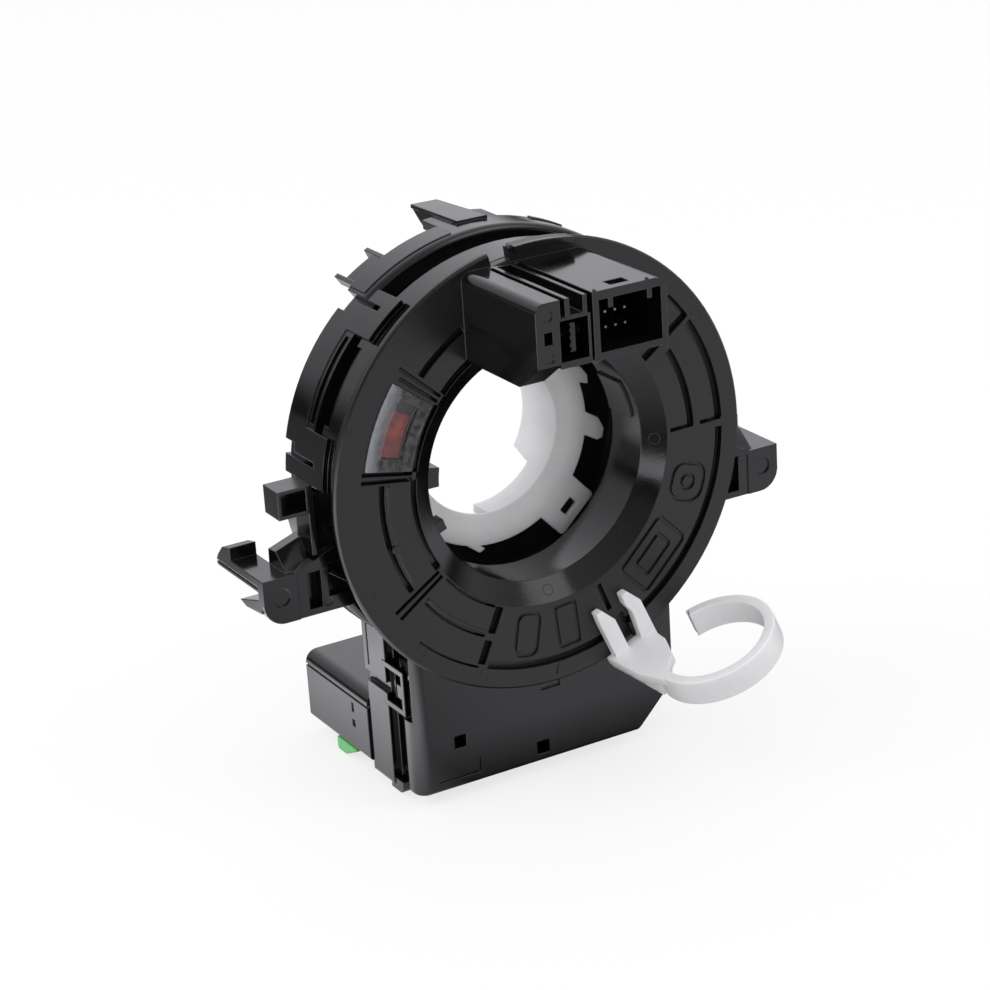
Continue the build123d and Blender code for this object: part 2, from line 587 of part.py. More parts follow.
def bracket():
    """Right-hand bracket: front plate, rearward arm with its hook, ramp and lower leaf."""
    rear = BRACKET_FRONT + BRACKET_THICKNESS
    plate = outline([(44.0, BRACKET_BOTTOM), (BRACKET_REACH, BRACKET_BOTTOM), (BRACKET_REACH, BRACKET_TOP),
                     (60.5, BRACKET_TOP), (51.5, -9.0), (44.0, -7.0)])
    corner = plate.vertices().sort_by_distance((BRACKET_REACH, BRACKET_BOTTOM, 0))[0]
    body = slab(fillet(corner, 5.0), BRACKET_FRONT, rear)
    step = 60.0
    body -= block(40.0, step, BRACKET_FRONT - 1, BRACKET_FRONT + 0.3, BRACKET_BOTTOM - 1, BRACKET_TOP - 0.8)

    low = BRACKET_TOP - ARM_THICKNESS
    arm = side_prism([(BRACKET_FRONT, BRACKET_TOP), (HOOK_FRONT, BRACKET_TOP), (HOOK_FRONT, HOOK_TOP),
                      (HOOK_REAR - 3.8, HOOK_TOP - 0.9), (HOOK_REAR - 1.2, HOOK_TOP - 3.4),
                      (HOOK_REAR, low + 0.9), (HOOK_REAR - 0.8, low), (BRACKET_FRONT, low)],
                     ARM_INNER, BRACKET_REACH)
    body += arm
    body -= block(BRACKET_REACH - 0.4, BRACKET_REACH + 1, rear, HOOK_REAR + 1, low + 0.7, low + 1.2)
    ramp_near = Plane(origin=(ARM_INNER, 0, 0), x_dir=(0, 1, 0), z_dir=(-1, 0, 0))
    ramp_far = Plane(origin=(48.0, 0, 0), x_dir=(0, 1, 0), z_dir=(-1, 0, 0))
    front = FACE_TO_ORIGIN

    def ramp_face(plane, top):
        return plane * outline([(8.0 - front, -low), (17.0 - front, -low), (16.6 - front, -top),
                                (13.0 - front, -top - 0.4), (8.4 - front, -BRACKET_TOP - 0.2)])

    body += loft([ramp_face(ramp_near, -9.2), ramp_face(ramp_far, -4.4)])
    body += side_prism([(rear - 1, -17.2), (19.8, -20.6), (16.6, -21.4), (rear - 1, -20.6)], 60.5, BRACKET_REACH)
    # Blind slot with its boss, pocket with a slanted rib, shallow round seat and a small mould mark.
    body += block(53.2, 58.4, rear - EPS, BRACKET_FRONT + SLOT_DEPTH + 1.0, BRACKET_BOTTOM, BRACKET_TOP)
    body -= block(54.2, 57.4, 0.0, BRACKET_FRONT + SLOT_DEPTH, -22.0, -13.2)
    body -= block(47.0, 52.4, 0.0, BRACKET_FRONT + 1.8, -20.0, -12.2)
    rib = Pos(49.2, -16.3) * (Rot(0, 0, 37) * Rectangle(6.0, 0.8))
    body += slab(rib, BRACKET_FRONT + 0.5, BRACKET_FRONT + 1.8 + EPS)
    body -= slab(Pos(64.1, -17.3) * Circle(2.1), 0.0, BRACKET_FRONT + 0.45)
    body -= slab(Pos(52.8, -21.2) * Circle(1.0), 0.0, BRACKET_FRONT + 0.55)
    return body


def front_casing():
    # Front half of the control box, open at the back, rounded at its edges.
    box = slab(box_outline(), CASING_FRONT, BOX_SPLIT)
    upright = box.edges().filter_by(Axis.Z).group_by(Axis.Y)[0].group_by(Axis.X)[0]
    box = fillet(upright, BOX_ROUND)
    lower = box.edges().filter_by(Axis.Y).group_by(Axis.Z)[0]
    box = fillet(lower, 1.2)
    inside = slab(box_outline(BOX_WALL), CASING_FRONT + BOX_WALL, BOX_SPLIT + 1)
    box -= inside
    for sign, wall in ((-1, BOX_LEFT), (1, BOX_RIGHT)):
        x0, x1 = sorted((wall - sign * 0.6, wall - sign * (SIDE_POCKET + BOX_WALL)))
        low = BOX_BOTTOM + 1 if sign < 0 else BOX_BOTTOM + BOX_CHAMFER
        box += block(x0, x1, CASING_FRONT + BOX_WALL - EPS, BOX_SPLIT, low, BOX_TOP)
    for x, z in STANDOFFS:
        box += slab(Pos(x, z) * Circle(STANDOFF_RADIUS), CASING_FRONT + BOX_WALL - EPS, BOARD_FRONT)
    box -= disc(BAND_RADIUS - 1.0, CASING_FRONT - 1, BOX_SPLIT + 1)
    box -= disc(BAND_RADIUS, BAND_REAR, BOX_SPLIT + 1)

    body = ring(BAND_RADIUS, CHAMBER_RADIUS, CASING_FRONT, BAND_REAR)
    body += ring(BAND_RADIUS, NECK_OUTER + FREE_GAP, FLOOR_FRONT, BAND_REAR)
    body += box
    brackets = bracket()
    brackets += mirrored(brackets)
    body += brackets - disc(BAND_RADIUS - 1.0, 0, 40)

    # Hollow block on the left side, with the rib and the web that carry it.
    side = block(-63.0, -54.6, 7.0, 14.0, 0.5, 7.0)
    side -= block(-62.2, -56.2, 6.0, 12.8, 1.3, 6.2)
    side += block(-55.8, -54.6, 7.0, 14.0, -9.4, 0.6)
    side += block(-54.8, -49.0, 12.4, 14.0, -9.4, 2.6)
    body += side - disc(BAND_RADIUS - 1.0, 0, 40)

    # Pockets in front of the latch frames, and the catches that the frames snap over.
    for start, stop in LATCH_SPANS:
        for a0, a1 in ((start, stop), (180 - stop, 180 - start)):
            body -= arc_block(BAND_RADIUS + 1, BAND_RADIUS - 1.1, a0, a1, 5.2, LATCH_FRONT - 0.4)
    for a0, a1 in ((138.5, 160.0), (20.0, 41.5)):
        body -= arc_block(BAND_RADIUS + 1, BAND_RADIUS - 1.1, a0, a1, 11.6, BAND_REAR + 1)

    # Box front: two square windows, the alignment tick and the line under the plain material field.
    cut = CASING_FRONT - 1
    through = CASING_FRONT + BOX_WALL + 1
    body -= block(-26.5, -23.4, cut, through, -63.7, -60.6)
    body -= block(-4.8, -1.5, cut, through, -71.6, -68.4)
    for x0, x1, z0, z1 in ((-2.9, 2.3, -55.6, -55.0), (1.7, 2.3, -55.6, -53.6),
                           (-31.0, -19.9, -71.2, -70.8), (-20.3, -19.9, -71.2, -67.9)):
        body -= block(x0, x1, cut, CASING_FRONT + 0.5, z0, z1)
    # Box sides: a pocket for the latch frame with its catch, and the sunk rear part of the wall.
    for sign, wall in ((-1, BOX_LEFT), (1, BOX_RIGHT)):
        x0, x1 = sorted((wall - sign * SIDE_POCKET, wall + sign * 1.0))
        low = BOX_BOTTOM - 1 if sign < 0 else BOX_BOTTOM + BOX_CHAMFER
        body -= block(x0, x1, POCKET_FRONT, BOX_SPLIT + 1, -54.8, BOX_TOP + 1)
        body -= block(x0, x1, RECESS_FRONT, BOX_SPLIT + 1, low, -54.6)
        x0, x1 = sorted((wall - sign * (SIDE_POCKET + 0.5), wall - sign * 0.3))
        body += block(x0, x1, LATCH_BAR + 0.5, 10.4, -50.6, -47.2)
        # Thin wall that closes the pocket at the back, inside the latch frame's path.
        x0, x1 = sorted((wall - sign * (SIDE_POCKET + 0.1), wall - sign * POCKET_WALL_INSET))
        body += block(x0, x1, BOX_SPLIT - 1.4, BOX_SPLIT, low + 2.2, BOX_TOP) - disc(BAND_RADIUS, 0, 40)
    return body - outer_terminal()


# ---- Gear cover and rear casing --------------------------------------------------------------------
RAISED_SPANS = ((53.0, 127.0), (186.0, 354.0))
LATCH_SPANS = ((123.0, 136.0), (162.5, 176.3))
PANEL_SPAN = (132.0, 167.8)
LATCH_FRONT = 9.8
LATCH_LIP = 17.3              # the rear drum's lip reaches forward to here over the gear cover
LATCH_GAP = 0.2               # radial play over the front drum
POST_RADIUS = 1.9
MAGNET_RADIUS = 2.6
MAGNET_THICKNESS = 1.0


def gear_cover():
    inside = COVER_RADIUS - COVER_WALL
    body = ring(COVER_RADIUS, inside, BAND_REAR, DRUM_FRONT)
    body += ring(COVER_RADIUS, NECK_OUTER + 1.0, BAND_REAR, BAND_REAR + 1.2)
    body -= ring(COVER_RADIUS + 1, COVER_RADIUS - 0.3, 15.5, 16.0)
    body -= ring(COVER_RADIUS + 1, COVER_RADIUS - 0.2, DRUM_FRONT - 0.9, DRUM_FRONT)
    return body


def gear_centre(teeth, angle):
    return polar(RING_PITCH + GEAR_MODULE * teeth / 2, angle)


def latch_frame(start, stop, slit, rears):
    """Two legs joined at the front by a bar, over a slit; it snaps over the front drum."""
    over = BAND_RADIUS + LATCH_GAP
    body = arc_block(PANEL_RADIUS, over, start, stop, LATCH_FRONT, BAND_REAR + 0.3)
    for a0, a1, rear in ((start, slit - 0.7, rears[0]), (slit + 0.7, stop, rears[1])):
        body += arc_block(PANEL_RADIUS, COVER_RADIUS + FREE_GAP, a0, a1, BAND_REAR + 0.3, DRUM_FRONT)
        body += arc_block(PANEL_RADIUS, DRUM_RADIUS - 0.5, a0, a1, DRUM_FRONT - EPS, rear)
    return body


def side_latch(wall, sign):
    """Square frame in the box's side that snaps over the front half's catch."""
    x0, x1 = sorted((wall - sign * 1.3, wall + sign * 0.1))
    frame = block(x0, x1, LATCH_BAR - 1.1, BOX_SPLIT + 1.5, -54.1, -43.1)
    return frame - block(x0 - 1, x1 + 1, LATCH_BAR, BOX_SPLIT, -52.8, -44.4)


def rear_casing():
    outer = disc(DRUM_RADIUS, DRUM_FRONT, DRUM_REAR)
    for span in RAISED_SPANS:
        band = arc_block(RAISED_RADIUS, DRUM_RADIUS - 0.5, *span, DRUM_FRONT, DRUM_REAR)
        rim = band.edges().filter_by(GeomType.CIRCLE).group_by(Axis.Y)[0].sort_by(SortBy.RADIUS)[-1]
        outer += fillet(rim, 1.6)
    outer += arc_block(RAISED_RADIUS + 0.25, RAISED_RADIUS - 0.5, 98.5, 126.0, 22.4, DRUM_REAR)
    outer += arc_block(DRUM_RADIUS + 0.6, COVER_RADIUS + FREE_GAP, 50.0, 120.5, LATCH_LIP, DRUM_FRONT + 0.5)
    shell = slab(box_outline(drop=REAR_DROP), BOX_SPLIT, BOX_REAR)
    shell = fillet(shell.edges().filter_by(Axis.Y).group_by(Axis.Z)[0], 1.2)
    body = outer + shell
    body -= disc(DRUM_RADIUS - DRUM_WALL, DRUM_FRONT - 1, DRUM_REAR - REAR_WALL)
    body -= slab(box_outline(BOX_WALL), BOX_SPLIT - 1, BOX_REAR - REAR_WALL)
    body -= disc(BAND_RADIUS, BOX_SPLIT - 1, DRUM_FRONT)
    body -= disc(COLLAR_RADIUS, DRUM_REAR - 5, DRUM_REAR + 5)
    # The pins' window in the back of the box.
    body -= block(PLUG_X0 - 2, PLUG_X1 + 2, BOX_REAR - 4, BOX_REAR + 1, PLUG_ROWS[1] - 2, PLUG_ROWS[0] + 2)

    for teeth, angle in ((GEAR_A_TEETH, GEAR_A_ANGLE), (GEAR_B_TEETH, GEAR_B_ANGLE)):
        post = Pos(*gear_centre(teeth, angle)) * Circle(POST_RADIUS)
        body += slab(post, GEAR_FRONT + 1.6, BOX_REAR - 0.5)

    # Latch frames, the raised panels between them, and their thin forward frames, left and right.
    parts = latch_frame(*LATCH_SPANS[0], 127.7, (27.8, 25.0))
    parts += latch_frame(*LATCH_SPANS[1], 170.8, (24.0, 27.9))
    parts += arc_block(PANEL_RADIUS, DRUM_RADIUS - 0.5, *PANEL_SPAN, DRUM_FRONT - EPS, 28.5)
    between = (LATCH_SPANS[0][1] - 0.5, LATCH_SPANS[1][0] + 0.5)
    frame = arc_block(PANEL_RADIUS - 0.3, COVER_RADIUS + FREE_GAP, *between, 16.6, DRUM_FRONT)
    frame -= arc_block(PANEL_RADIUS, PANEL_RADIUS - 1.3, between[0] + 2, between[1] - 2, 17.4, 19.2)
    parts += frame
    body += parts + mirrored(parts)

    # Rear fins with the low panel between them.
    high = RAISED_RADIUS - 0.4
    for angle in (114.3, 124.6):
        body += arc_block(high + 0.1, high - 2.6, angle - 0.6, angle + 0.6, DRUM_REAR - 1, 38.5)
    body += arc_block(high, high - 1.4, 114.3, 124.6, DRUM_REAR - 1, 34.2)

    # Top tongue with its web, and the two small blocks beside it.
    low = RAISED_RADIUS - 0.3
    tongue = outline([(-3.4, 27.0 - FACE_TO_ORIGIN), (4.5, 27.0 - FACE_TO_ORIGIN),
                      (2.4, 46.8 - FACE_TO_ORIGIN), (-4.3, 47.2 - FACE_TO_ORIGIN)])
    body += extrude(Pos(0, 0, low) * tongue, 0.9)
    body += side_prism([(DRUM_REAR - 1, 40.0), (DRUM_REAR - 1, low + 0.4), (46.9, low + 0.4), (46.7, low - 0.2),
                        (43.6, low - 2.4), (40.8, low - 4.1), (36.5, low - 7.7)], -4.1, -2.9)
    body += arc_block(RAISED_RADIUS, RAISED_RADIUS - 2.2, 93.4, 98.0, DRUM_REAR - 1, 36.8)
    body += arc_block(RAISED_RADIUS - 0.1, RAISED_RADIUS - 1.8, 80.4, 85.0, DRUM_REAR - 1, 37.0)
    body += arc_block(RAISED_RADIUS + 0.35, RAISED_RADIUS - 1.0, 62.0, 71.6, 27.4, DRUM_REAR)

    # Back of the drum: collar round the bearing, outer rib and radial ribs.
    body += ring(COLLAR_RADIUS + 2.4, COLLAR_RADIUS, DRUM_REAR - EPS, DRUM_REAR + 3.0)
    body += ring(43.0, 41.4, DRUM_REAR - EPS, DRUM_REAR + 1.6)
    for step in range(12):
        body += slab(radial_bar(COLLAR_RADIUS + 2.0, 41.8, 1.4, 15 + 30 * step), DRUM_REAR - EPS, DRUM_REAR + 1.6)

    # Notch across the box's left side, with a groove above it, and the side latches.
    left = BOX_LEFT - 1
    body -= block(left, BOX_LEFT + 0.4, 23.0, 23.7, -46.8, BOX_TOP)
    body -= block(left, BOX_LEFT + 0.3, 24.6, BOX_REAR + 1, BOX_BOTTOM - REAR_DROP - 1, -50.0)
    # Rounded foot that reaches into the sunk part of the front half's left side.
    foot = block(BOX_LEFT + 0.3, BOX_LEFT + SIDE_POCKET - FREE_GAP, RECESS_FRONT + 4.0, BOX_SPLIT + 2.0,
                 BOX_BOTTOM - REAR_DROP - 0.8, BOX_BOTTOM + 0.9)
    body += fillet(foot.edges().filter_by(Axis.X).group_by(Axis.Z)[0].group_by(Axis.Y)[0], 1.5)
    body += side_latch(BOX_LEFT, -1) + side_latch(BOX_RIGHT, 1)
    return body - block(left, BOX_LEFT + 1.1, BOX_SPLIT - 1, BOX_REAR + 1, -51.2, -48.6)


def sensor_gear(teeth, angle):
    """Sensor gear on its post: front cup for the magnet, blind bore behind, teeth in mesh at rest."""
    pitch_angle = 360 / teeth
    # A ring tooth lies on each of the ring's whole steps from the x axis, so the gap here meets it.
    ring_step = 360 / RING_TEETH
    nearest = round(angle / ring_step) * ring_step
    lag = (angle - nearest) * RING_TEETH / teeth
    turn = angle + 180 + pitch_angle / 2 + lag
    place = Pos(*gear_centre(teeth, angle))
    body = slab(place * (Rot(0, 0, turn) * gear_outline(teeth)), GEAR_FRONT, GEAR_FRONT + GEAR_WIDTH)
    body += slab(place * Circle(3.6), GEAR_FRONT + GEAR_WIDTH - EPS, BOX_REAR - REAR_WALL - 0.3)
    body -= slab(place * Circle(MAGNET_RADIUS), GEAR_FRONT - 1, GEAR_FRONT + MAGNET_THICKNESS)
    body -= slab(place * Circle(POST_RADIUS + BEARING_CLEARANCE), GEAR_FRONT + 1.3, BOX_REAR)
    return body


def gear_magnet(teeth, angle):
    place = Pos(*gear_centre(teeth, angle))
    return slab(place * Circle(MAGNET_RADIUS), GEAR_FRONT, GEAR_FRONT + MAGNET_THICKNESS)


# ---- Circuit board and rear plug -------------------------------------------------------------------
PLUG_ROWS = (-63.0, -67.0)
PLUG_PITCH = 2.8
PLUG_COLUMNS = 7
PLUG_X0 = -33.4
PLUG_X1 = 8.4
DIVIDER = (-13.2, -11.8)
LOCK_TRAVEL = 5.0


def plug_pin_places():
    places = []
    span = PLUG_PITCH * (PLUG_COLUMNS - 1)
    for first in (PLUG_X0 + 0.6, PLUG_X1 - 0.6 - span):
        for column in range(PLUG_COLUMNS):
            for z in PLUG_ROWS:
                places.append((first + PLUG_PITCH * column, z))
    return places


def plug_pins():
    pins = Part()
    for x, z in plug_pin_places():
        pins += slab(Pos(x, z) * Rectangle(PIN_SIDE, PIN_SIDE), BOARD_FRONT - 0.3, SHROUD_REAR - 9)
    return pins


def circuit_board():
    edge = box_outline(BOX_WALL + 0.6) - Circle(COVER_RADIUS + 0.3)
    board = slab(edge, BOARD_FRONT, BOARD_FRONT + BOARD_THICKNESS)
    return board - plug_pins()


def board_rear():
    return BOARD_FRONT + BOARD_THICKNESS


def angle_sensor_chips():
    chips = Part()
    for teeth, angle in ((GEAR_A_TEETH, GEAR_A_ANGLE), (GEAR_B_TEETH, GEAR_B_ANGLE)):
        x, z = gear_centre(teeth, angle)
        chips += block(x - 2.2, x + 2.2, board_rear(), board_rear() + 1.2, z - 2.6, z + 1.2)
    return chips


def controller_chip():
    return block(-7.5, 2.5, board_rear(), board_rear() + 1.4, -60.6, -53.6)


def board_parts():
    rear = board_rear()
    parts = Part()
    for index in range(6):
        x = -30.5 + 3.2 * index
        parts += block(x, x + 1.8, rear, rear + 0.9, -58.4, -57.2)
    for index in range(5):
        x = 8.0 + 3.4 * index
        parts += block(x, x + 2.0, rear, rear + 0.9, -61.6, -60.2)
    parts += slab(Pos(24.5, -57.0) * Circle(2.2), rear, rear + 2.0)
    return parts


def plug_shroud():
    body = block(SHROUD_LEFT, SHROUD_RIGHT, BOX_REAR, SHROUD_REAR, SHROUD_BOTTOM, SHROUD_TOP)
    body = fillet(body.edges().filter_by(Axis.Y).group_by(Axis.Z)[-1], 3.0)
    body = fillet(body.edges().filter_by(Axis.Y).group_by(Axis.Z)[0], 0.8)
    floor = BOX_REAR + 2.0
    for x0, x1 in ((SHROUD_LEFT + SHROUD_WALL, DIVIDER[0]), (DIVIDER[1], SHROUD_RIGHT - SHROUD_WALL)):
        cavity = block(x0, x1, floor, SHROUD_REAR + 1, SHROUD_BOTTOM + SHROUD_WALL, SHROUD_TOP - SHROUD_WALL)
        body -= fillet(cavity.edges().filter_by(Axis.Y), 0.8)
    # Groove and two sunk marks along the left side, and the lock's slot.
    body -= block(SHROUD_LEFT - 1, SHROUD_LEFT + 0.4, BOX_REAR - 1, SHROUD_REAR + 1, -59.0, -58.4)
    body -= block(SHROUD_LEFT - 1, SHROUD_LEFT + 0.5, 32.4, 33.6, -62.6, -60.2)
    body -= block(SHROUD_LEFT - 1, SHROUD_LEFT + 0.5, 32.2, 33.8, -66.4, -64.6)
    body -= block(LOCK_NECK[0] - 0.4, LOCK_NECK[1] + 0.4, LOCK_DEPTH[0] + 1.6, LOCK_DEPTH[1] - 1.6 + LOCK_TRAVEL,
                  SHROUD_BOTTOM - 1, SHROUD_BOTTOM + SHROUD_WALL + EPS)
    return body - plug_pins()


LOCK_DEPTH = (33.3, 43.2)
LOCK_NECK = (-31.0, -25.0)
LOCK_SPAN = (-37.0, -21.6)
LOCK_GAP = 0.3


def plug_lock():
    """Slide under the socket: thumb plate outside, neck through the slot, bar inside."""
    front, rear = LOCK_DEPTH
    under = SHROUD_BOTTOM - LOCK_GAP
    plate = side_prism([(rear, under), (rear, under - 2.7), (rear - 0.8, under - 3.3), (rear - 4.2, under - 3.3),
                        (front, under - 0.6), (front, under)], *LOCK_SPAN)
    for step in range(3):
        depth = rear - 3.4 + 1.1 * step
        plate -= block(LOCK_SPAN[0] + 1.5, LOCK_SPAN[1] - 1.5, depth, depth + 0.5, under - 4, under - 3.0)
    inner = SHROUD_BOTTOM + SHROUD_WALL + LOCK_GAP
    plate += block(*LOCK_NECK, front + 2.0, rear - 2.0, under - EPS, inner + EPS)
    plate += block(LOCK_NECK[0] - 1.6, LOCK_NECK[1] + 1.6, front + 2.0, rear - 2.0, inner, inner + 1.0)
    return plate


# ---- Lock key --------------------------------------------------------------------------------------
PRONGS = ((-6.2, -2.3, 0.0), (1.5, 5.5, 0.8))   # sideways limits of each prong and the step under its tip
PRONG_TIP = 39.1
PRONG_THICKNESS = 2.6
PLATE_THICKNESS = 2.2
KEY_GAP = 0.15                        # between the prongs and the rotor's face
RING_CENTRE = (10.5, -19.8)           # sideways place and depth of the finger ring's centre


def lock_key():
    rear = -KEY_GAP
    front = rear - PRONG_THICKNESS
    body = Part()
    for low, high, step in PRONGS:
        prong = outline([(KEY_BASE_RADIUS + 1, low), (PRONG_TIP + 5.6, low + step), (PRONG_TIP + 2.8, low),
                         (PRONG_TIP, low + 0.2), (PRONG_TIP, low + 1.9), (PRONG_TIP + 4.1, high),
                         (KEY_BASE_RADIUS + 1, high)])
        body += slab(prong, front, rear)
    for offset in KEY_PEGS:
        body += slab(Pos(KEY_PEG_RADIAL, offset) * Circle(KEY_PEG_RADIUS), rear - EPS, KEY_PEG_LENGTH)

    # Plate, drawn across the key (sideways, depth) and raised away from the axis.
    def away(points_face, low, high):
        across = Plane(origin=(low, 0, 0), x_dir=(0, 0, 1), z_dir=(1, 0, 0))
        return extrude(across * points_face, high - low)

    def flat(points):
        return outline([(side, FACE_TO_ORIGIN - depth) for side, depth in points])

    plate = flat([(-7.6, rear), (-7.6, -1.5), (-7.0, -13.0), (-4.9, -20.5), (-2.3, -19.2), (0.0, -16.6),
                  (1.8, -15.3), (4.5, -8.5), (4.7, -5.0), (5.5, front), (5.5, rear)])
    body += away(plate, KEY_BASE_RADIUS, KEY_BASE_RADIUS + PLATE_THICKNESS)
    # Web along the plate's left edge, as deep as the finger ring where it meets it.
    slim = Pos(KEY_BASE_RADIUS + PLATE_THICKNESS / 2, -5.7) * Rectangle(PLATE_THICKNESS, 3.4)
    deep = Pos(KEY_BASE_RADIUS + KEY_RING_WIDTH / 2, -3.8) * Rectangle(KEY_RING_WIDTH, 2.8)
    body += loft([plane_at(-1.2) * slim, plane_at(-17.0) * deep])
    side, depth = RING_CENTRE
    sweep_start = -79.0
    sweep = 266.0
    outside = CenterArc((side, FACE_TO_ORIGIN - depth), KEY_RING_OUTER, sweep_start, sweep)
    inside = CenterArc((side, FACE_TO_ORIGIN - depth), KEY_RING_INNER, sweep_start, sweep)
    hoop = make_face([outside, inside, Line(outside @ 0, inside @ 0), Line(outside @ 1, inside @ 1)])
    body += away(hoop, KEY_BASE_RADIUS, KEY_BASE_RADIUS + KEY_RING_WIDTH)
    return key_place(body)


# ---- Build -----------------------------------------------------------------------------------------
def nodes():
    return {
        "rotor_housing": rotor_housing(),
        "window_lens": window_lens(),
        "inner_terminal": inner_terminal(),
        "signal_pins": signal_pins(),
        "airbag_terminals": airbag_terminals(),
        "gear_ring": gear_ring(),
        "hub_ring": hub_ring(),
        "ribbon_cable": ribbon_cable(),
        "ribbon_guide": ribbon_guide(),
        "centre_marker": centre_marker(),
        "front_casing": front_casing(),
        "outer_terminal": outer_terminal(),
        "gear_cover": gear_cover(),
        "rear_casing": rear_casing(),
        "sensor_gear_a": sensor_gear(GEAR_A_TEETH, GEAR_A_ANGLE),
        "sensor_gear_b": sensor_gear(GEAR_B_TEETH, GEAR_B_ANGLE),
        "gear_magnet_a": gear_magnet(GEAR_A_TEETH, GEAR_A_ANGLE),
        "gear_magnet_b": gear_magnet(GEAR_B_TEETH, GEAR_B_ANGLE),
        "circuit_board": circuit_board(),
        "angle_sensor_chips": angle_sensor_chips(),
        "controller_chip": controller_chip(),
        "board_parts": board_parts(),
        "plug_pins": plug_pins(),
        "plug_shroud": plug_shroud(),
        "plug_lock": plug_lock(),
        "lock_key": lock_key(),
    }


os.makedirs("parts", exist_ok=True)
for name, solid in nodes().items():
    export_step(solid, f"parts/{name}.step")
    print(name, round(solid.volume, 1))
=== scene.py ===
import math

import bpy
from mathutils import Matrix, Vector


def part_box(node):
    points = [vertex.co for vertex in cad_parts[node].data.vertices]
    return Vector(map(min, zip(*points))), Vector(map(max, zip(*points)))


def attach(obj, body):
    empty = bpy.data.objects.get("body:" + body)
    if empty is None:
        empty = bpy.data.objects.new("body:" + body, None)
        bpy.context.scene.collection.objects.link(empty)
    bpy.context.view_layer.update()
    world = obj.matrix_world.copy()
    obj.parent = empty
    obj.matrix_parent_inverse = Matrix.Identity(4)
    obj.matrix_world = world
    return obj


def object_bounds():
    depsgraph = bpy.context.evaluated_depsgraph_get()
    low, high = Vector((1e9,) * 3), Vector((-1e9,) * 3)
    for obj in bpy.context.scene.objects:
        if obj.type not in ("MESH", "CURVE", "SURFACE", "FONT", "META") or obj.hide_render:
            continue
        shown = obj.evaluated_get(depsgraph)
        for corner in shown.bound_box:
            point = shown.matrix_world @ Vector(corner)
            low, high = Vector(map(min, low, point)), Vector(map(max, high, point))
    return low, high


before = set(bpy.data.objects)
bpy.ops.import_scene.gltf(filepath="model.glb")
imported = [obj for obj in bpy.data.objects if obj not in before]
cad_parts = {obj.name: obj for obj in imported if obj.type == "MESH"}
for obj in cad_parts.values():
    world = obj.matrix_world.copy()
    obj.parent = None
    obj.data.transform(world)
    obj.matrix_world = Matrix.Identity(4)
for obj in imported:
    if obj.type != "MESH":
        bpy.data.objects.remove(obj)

# Steering clock spring: finishes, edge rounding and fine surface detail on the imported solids.
# Lengths are metres; MM turns a size in millimetres into metres.
MM = 0.001
cad_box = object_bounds()

# ---- View and light -----------------------------------------------------------------------------
VIEW_PLACE = (-0.30097, -0.55125, 0.22473)
VIEW_AZIMUTH = -28.908
VIEW_ELEVATION = 20.976
VIEW_ROLL = -3.771
LENS_MM = 103.84
SENSOR_MM = 36.0
CLIP_END = 50.0
FLOOR_GAP = 0.5 * MM          # air between the lowest piece and the floor
FLOOR_SIZE = 12.0
PAPER_GLOW = 0.75             # share of the floor's white that is its own, so that the shadow stays soft
LAMP_AIM = Vector((0.0, 0.0, -0.01))
LAMP_SIZE = 0.6
LAMPS = (                     # name, place in metres and power in watts
    ("lamp_front_right", (0.55, -0.70, 0.80), 1.6),
    ("lamp_upper_left", (-0.80, 0.10, 0.70), 3.0),
)
# What the gloss sees on the floor: pools of light, each the product of its fades. A fade is an axis,
# two places on it in metres and the light at them.
FLOOR_POOLS = (
    # Bright on the left, from in front of the object until behind it.
    (("Y", -0.12, -0.07, 0.0, 2.4), ("Y", 0.05, 0.13, 1.0, 0.04), ("X", -0.02, -0.07, 0.0, 1.0)),
    # Dimmer in front, dark towards the left.
    (("Y", -0.03, -0.055, 0.0, 0.72), ("X", -0.08, 0.01, 0.0, 1.0)),
    # Bright again far on the left.
    (("X", -0.15, -0.23, 0.0, 2.4), ("Y", 0.03, -0.04, 0.0, 1.0)),
    # Dimmer behind, dark far on the left.
    (("Y", 0.07, 0.12, 0.0, 0.7), ("X", -0.15, -0.09, 0.0, 1.0)),
)
FLOOR_REST = 0.09             # light that the gloss sees on the rest of the floor
# What the gloss sees of the room: the product of three fades over the direction.
ROOM_DEPTH = (-0.6, 0.5, 0.45, 1.28)          # dimmer in front of the object than behind it
ROOM_SIDE = (-0.70, 0.2, 0.30, 1.0)           # dimmer on the left
ROOM_HEIGHT = (0.06, 0.20, 0.08, 1.0)         # dark near the horizon
GLOSS_TINT = "#FBF9FF"                        # the surroundings look slightly cool in gloss
WORLD_LEVEL = 0.97                            # light of the studio on matt surfaces


def add_camera():
    """Camera that looks down at the object from its front left."""
    data = bpy.data.cameras.new("view_camera")
    data.lens = LENS_MM
    data.sensor_width = SENSOR_MM
    data.clip_end = CLIP_END
    camera = bpy.data.objects.new("view_camera", data)
    bpy.context.scene.collection.objects.link(camera)
    azimuth = Matrix.Rotation(math.radians(VIEW_AZIMUTH), 4, "Z")
    elevation = Matrix.Rotation(math.radians(90 - VIEW_ELEVATION), 4, "X")
    roll = Matrix.Rotation(math.radians(VIEW_ROLL), 4, "Z")
    camera.matrix_world = Matrix.Translation(VIEW_PLACE) @ azimuth @ elevation @ roll
    bpy.context.scene.camera = camera


def add_lamp(name, place, power):
    """Soft square lamp aimed at the object's middle."""
    data = bpy.data.lights.new(name, "AREA")
    data.shape = "SQUARE"
    data.size = LAMP_SIZE
    data.energy = power
    lamp = bpy.data.objects.new(name, data)
    lamp.location = place
    aim = LAMP_AIM - Vector(place)
    lamp.rotation_euler = aim.to_track_quat("-Z", "Y").to_euler()
    bpy.context.scene.collection.objects.link(lamp)


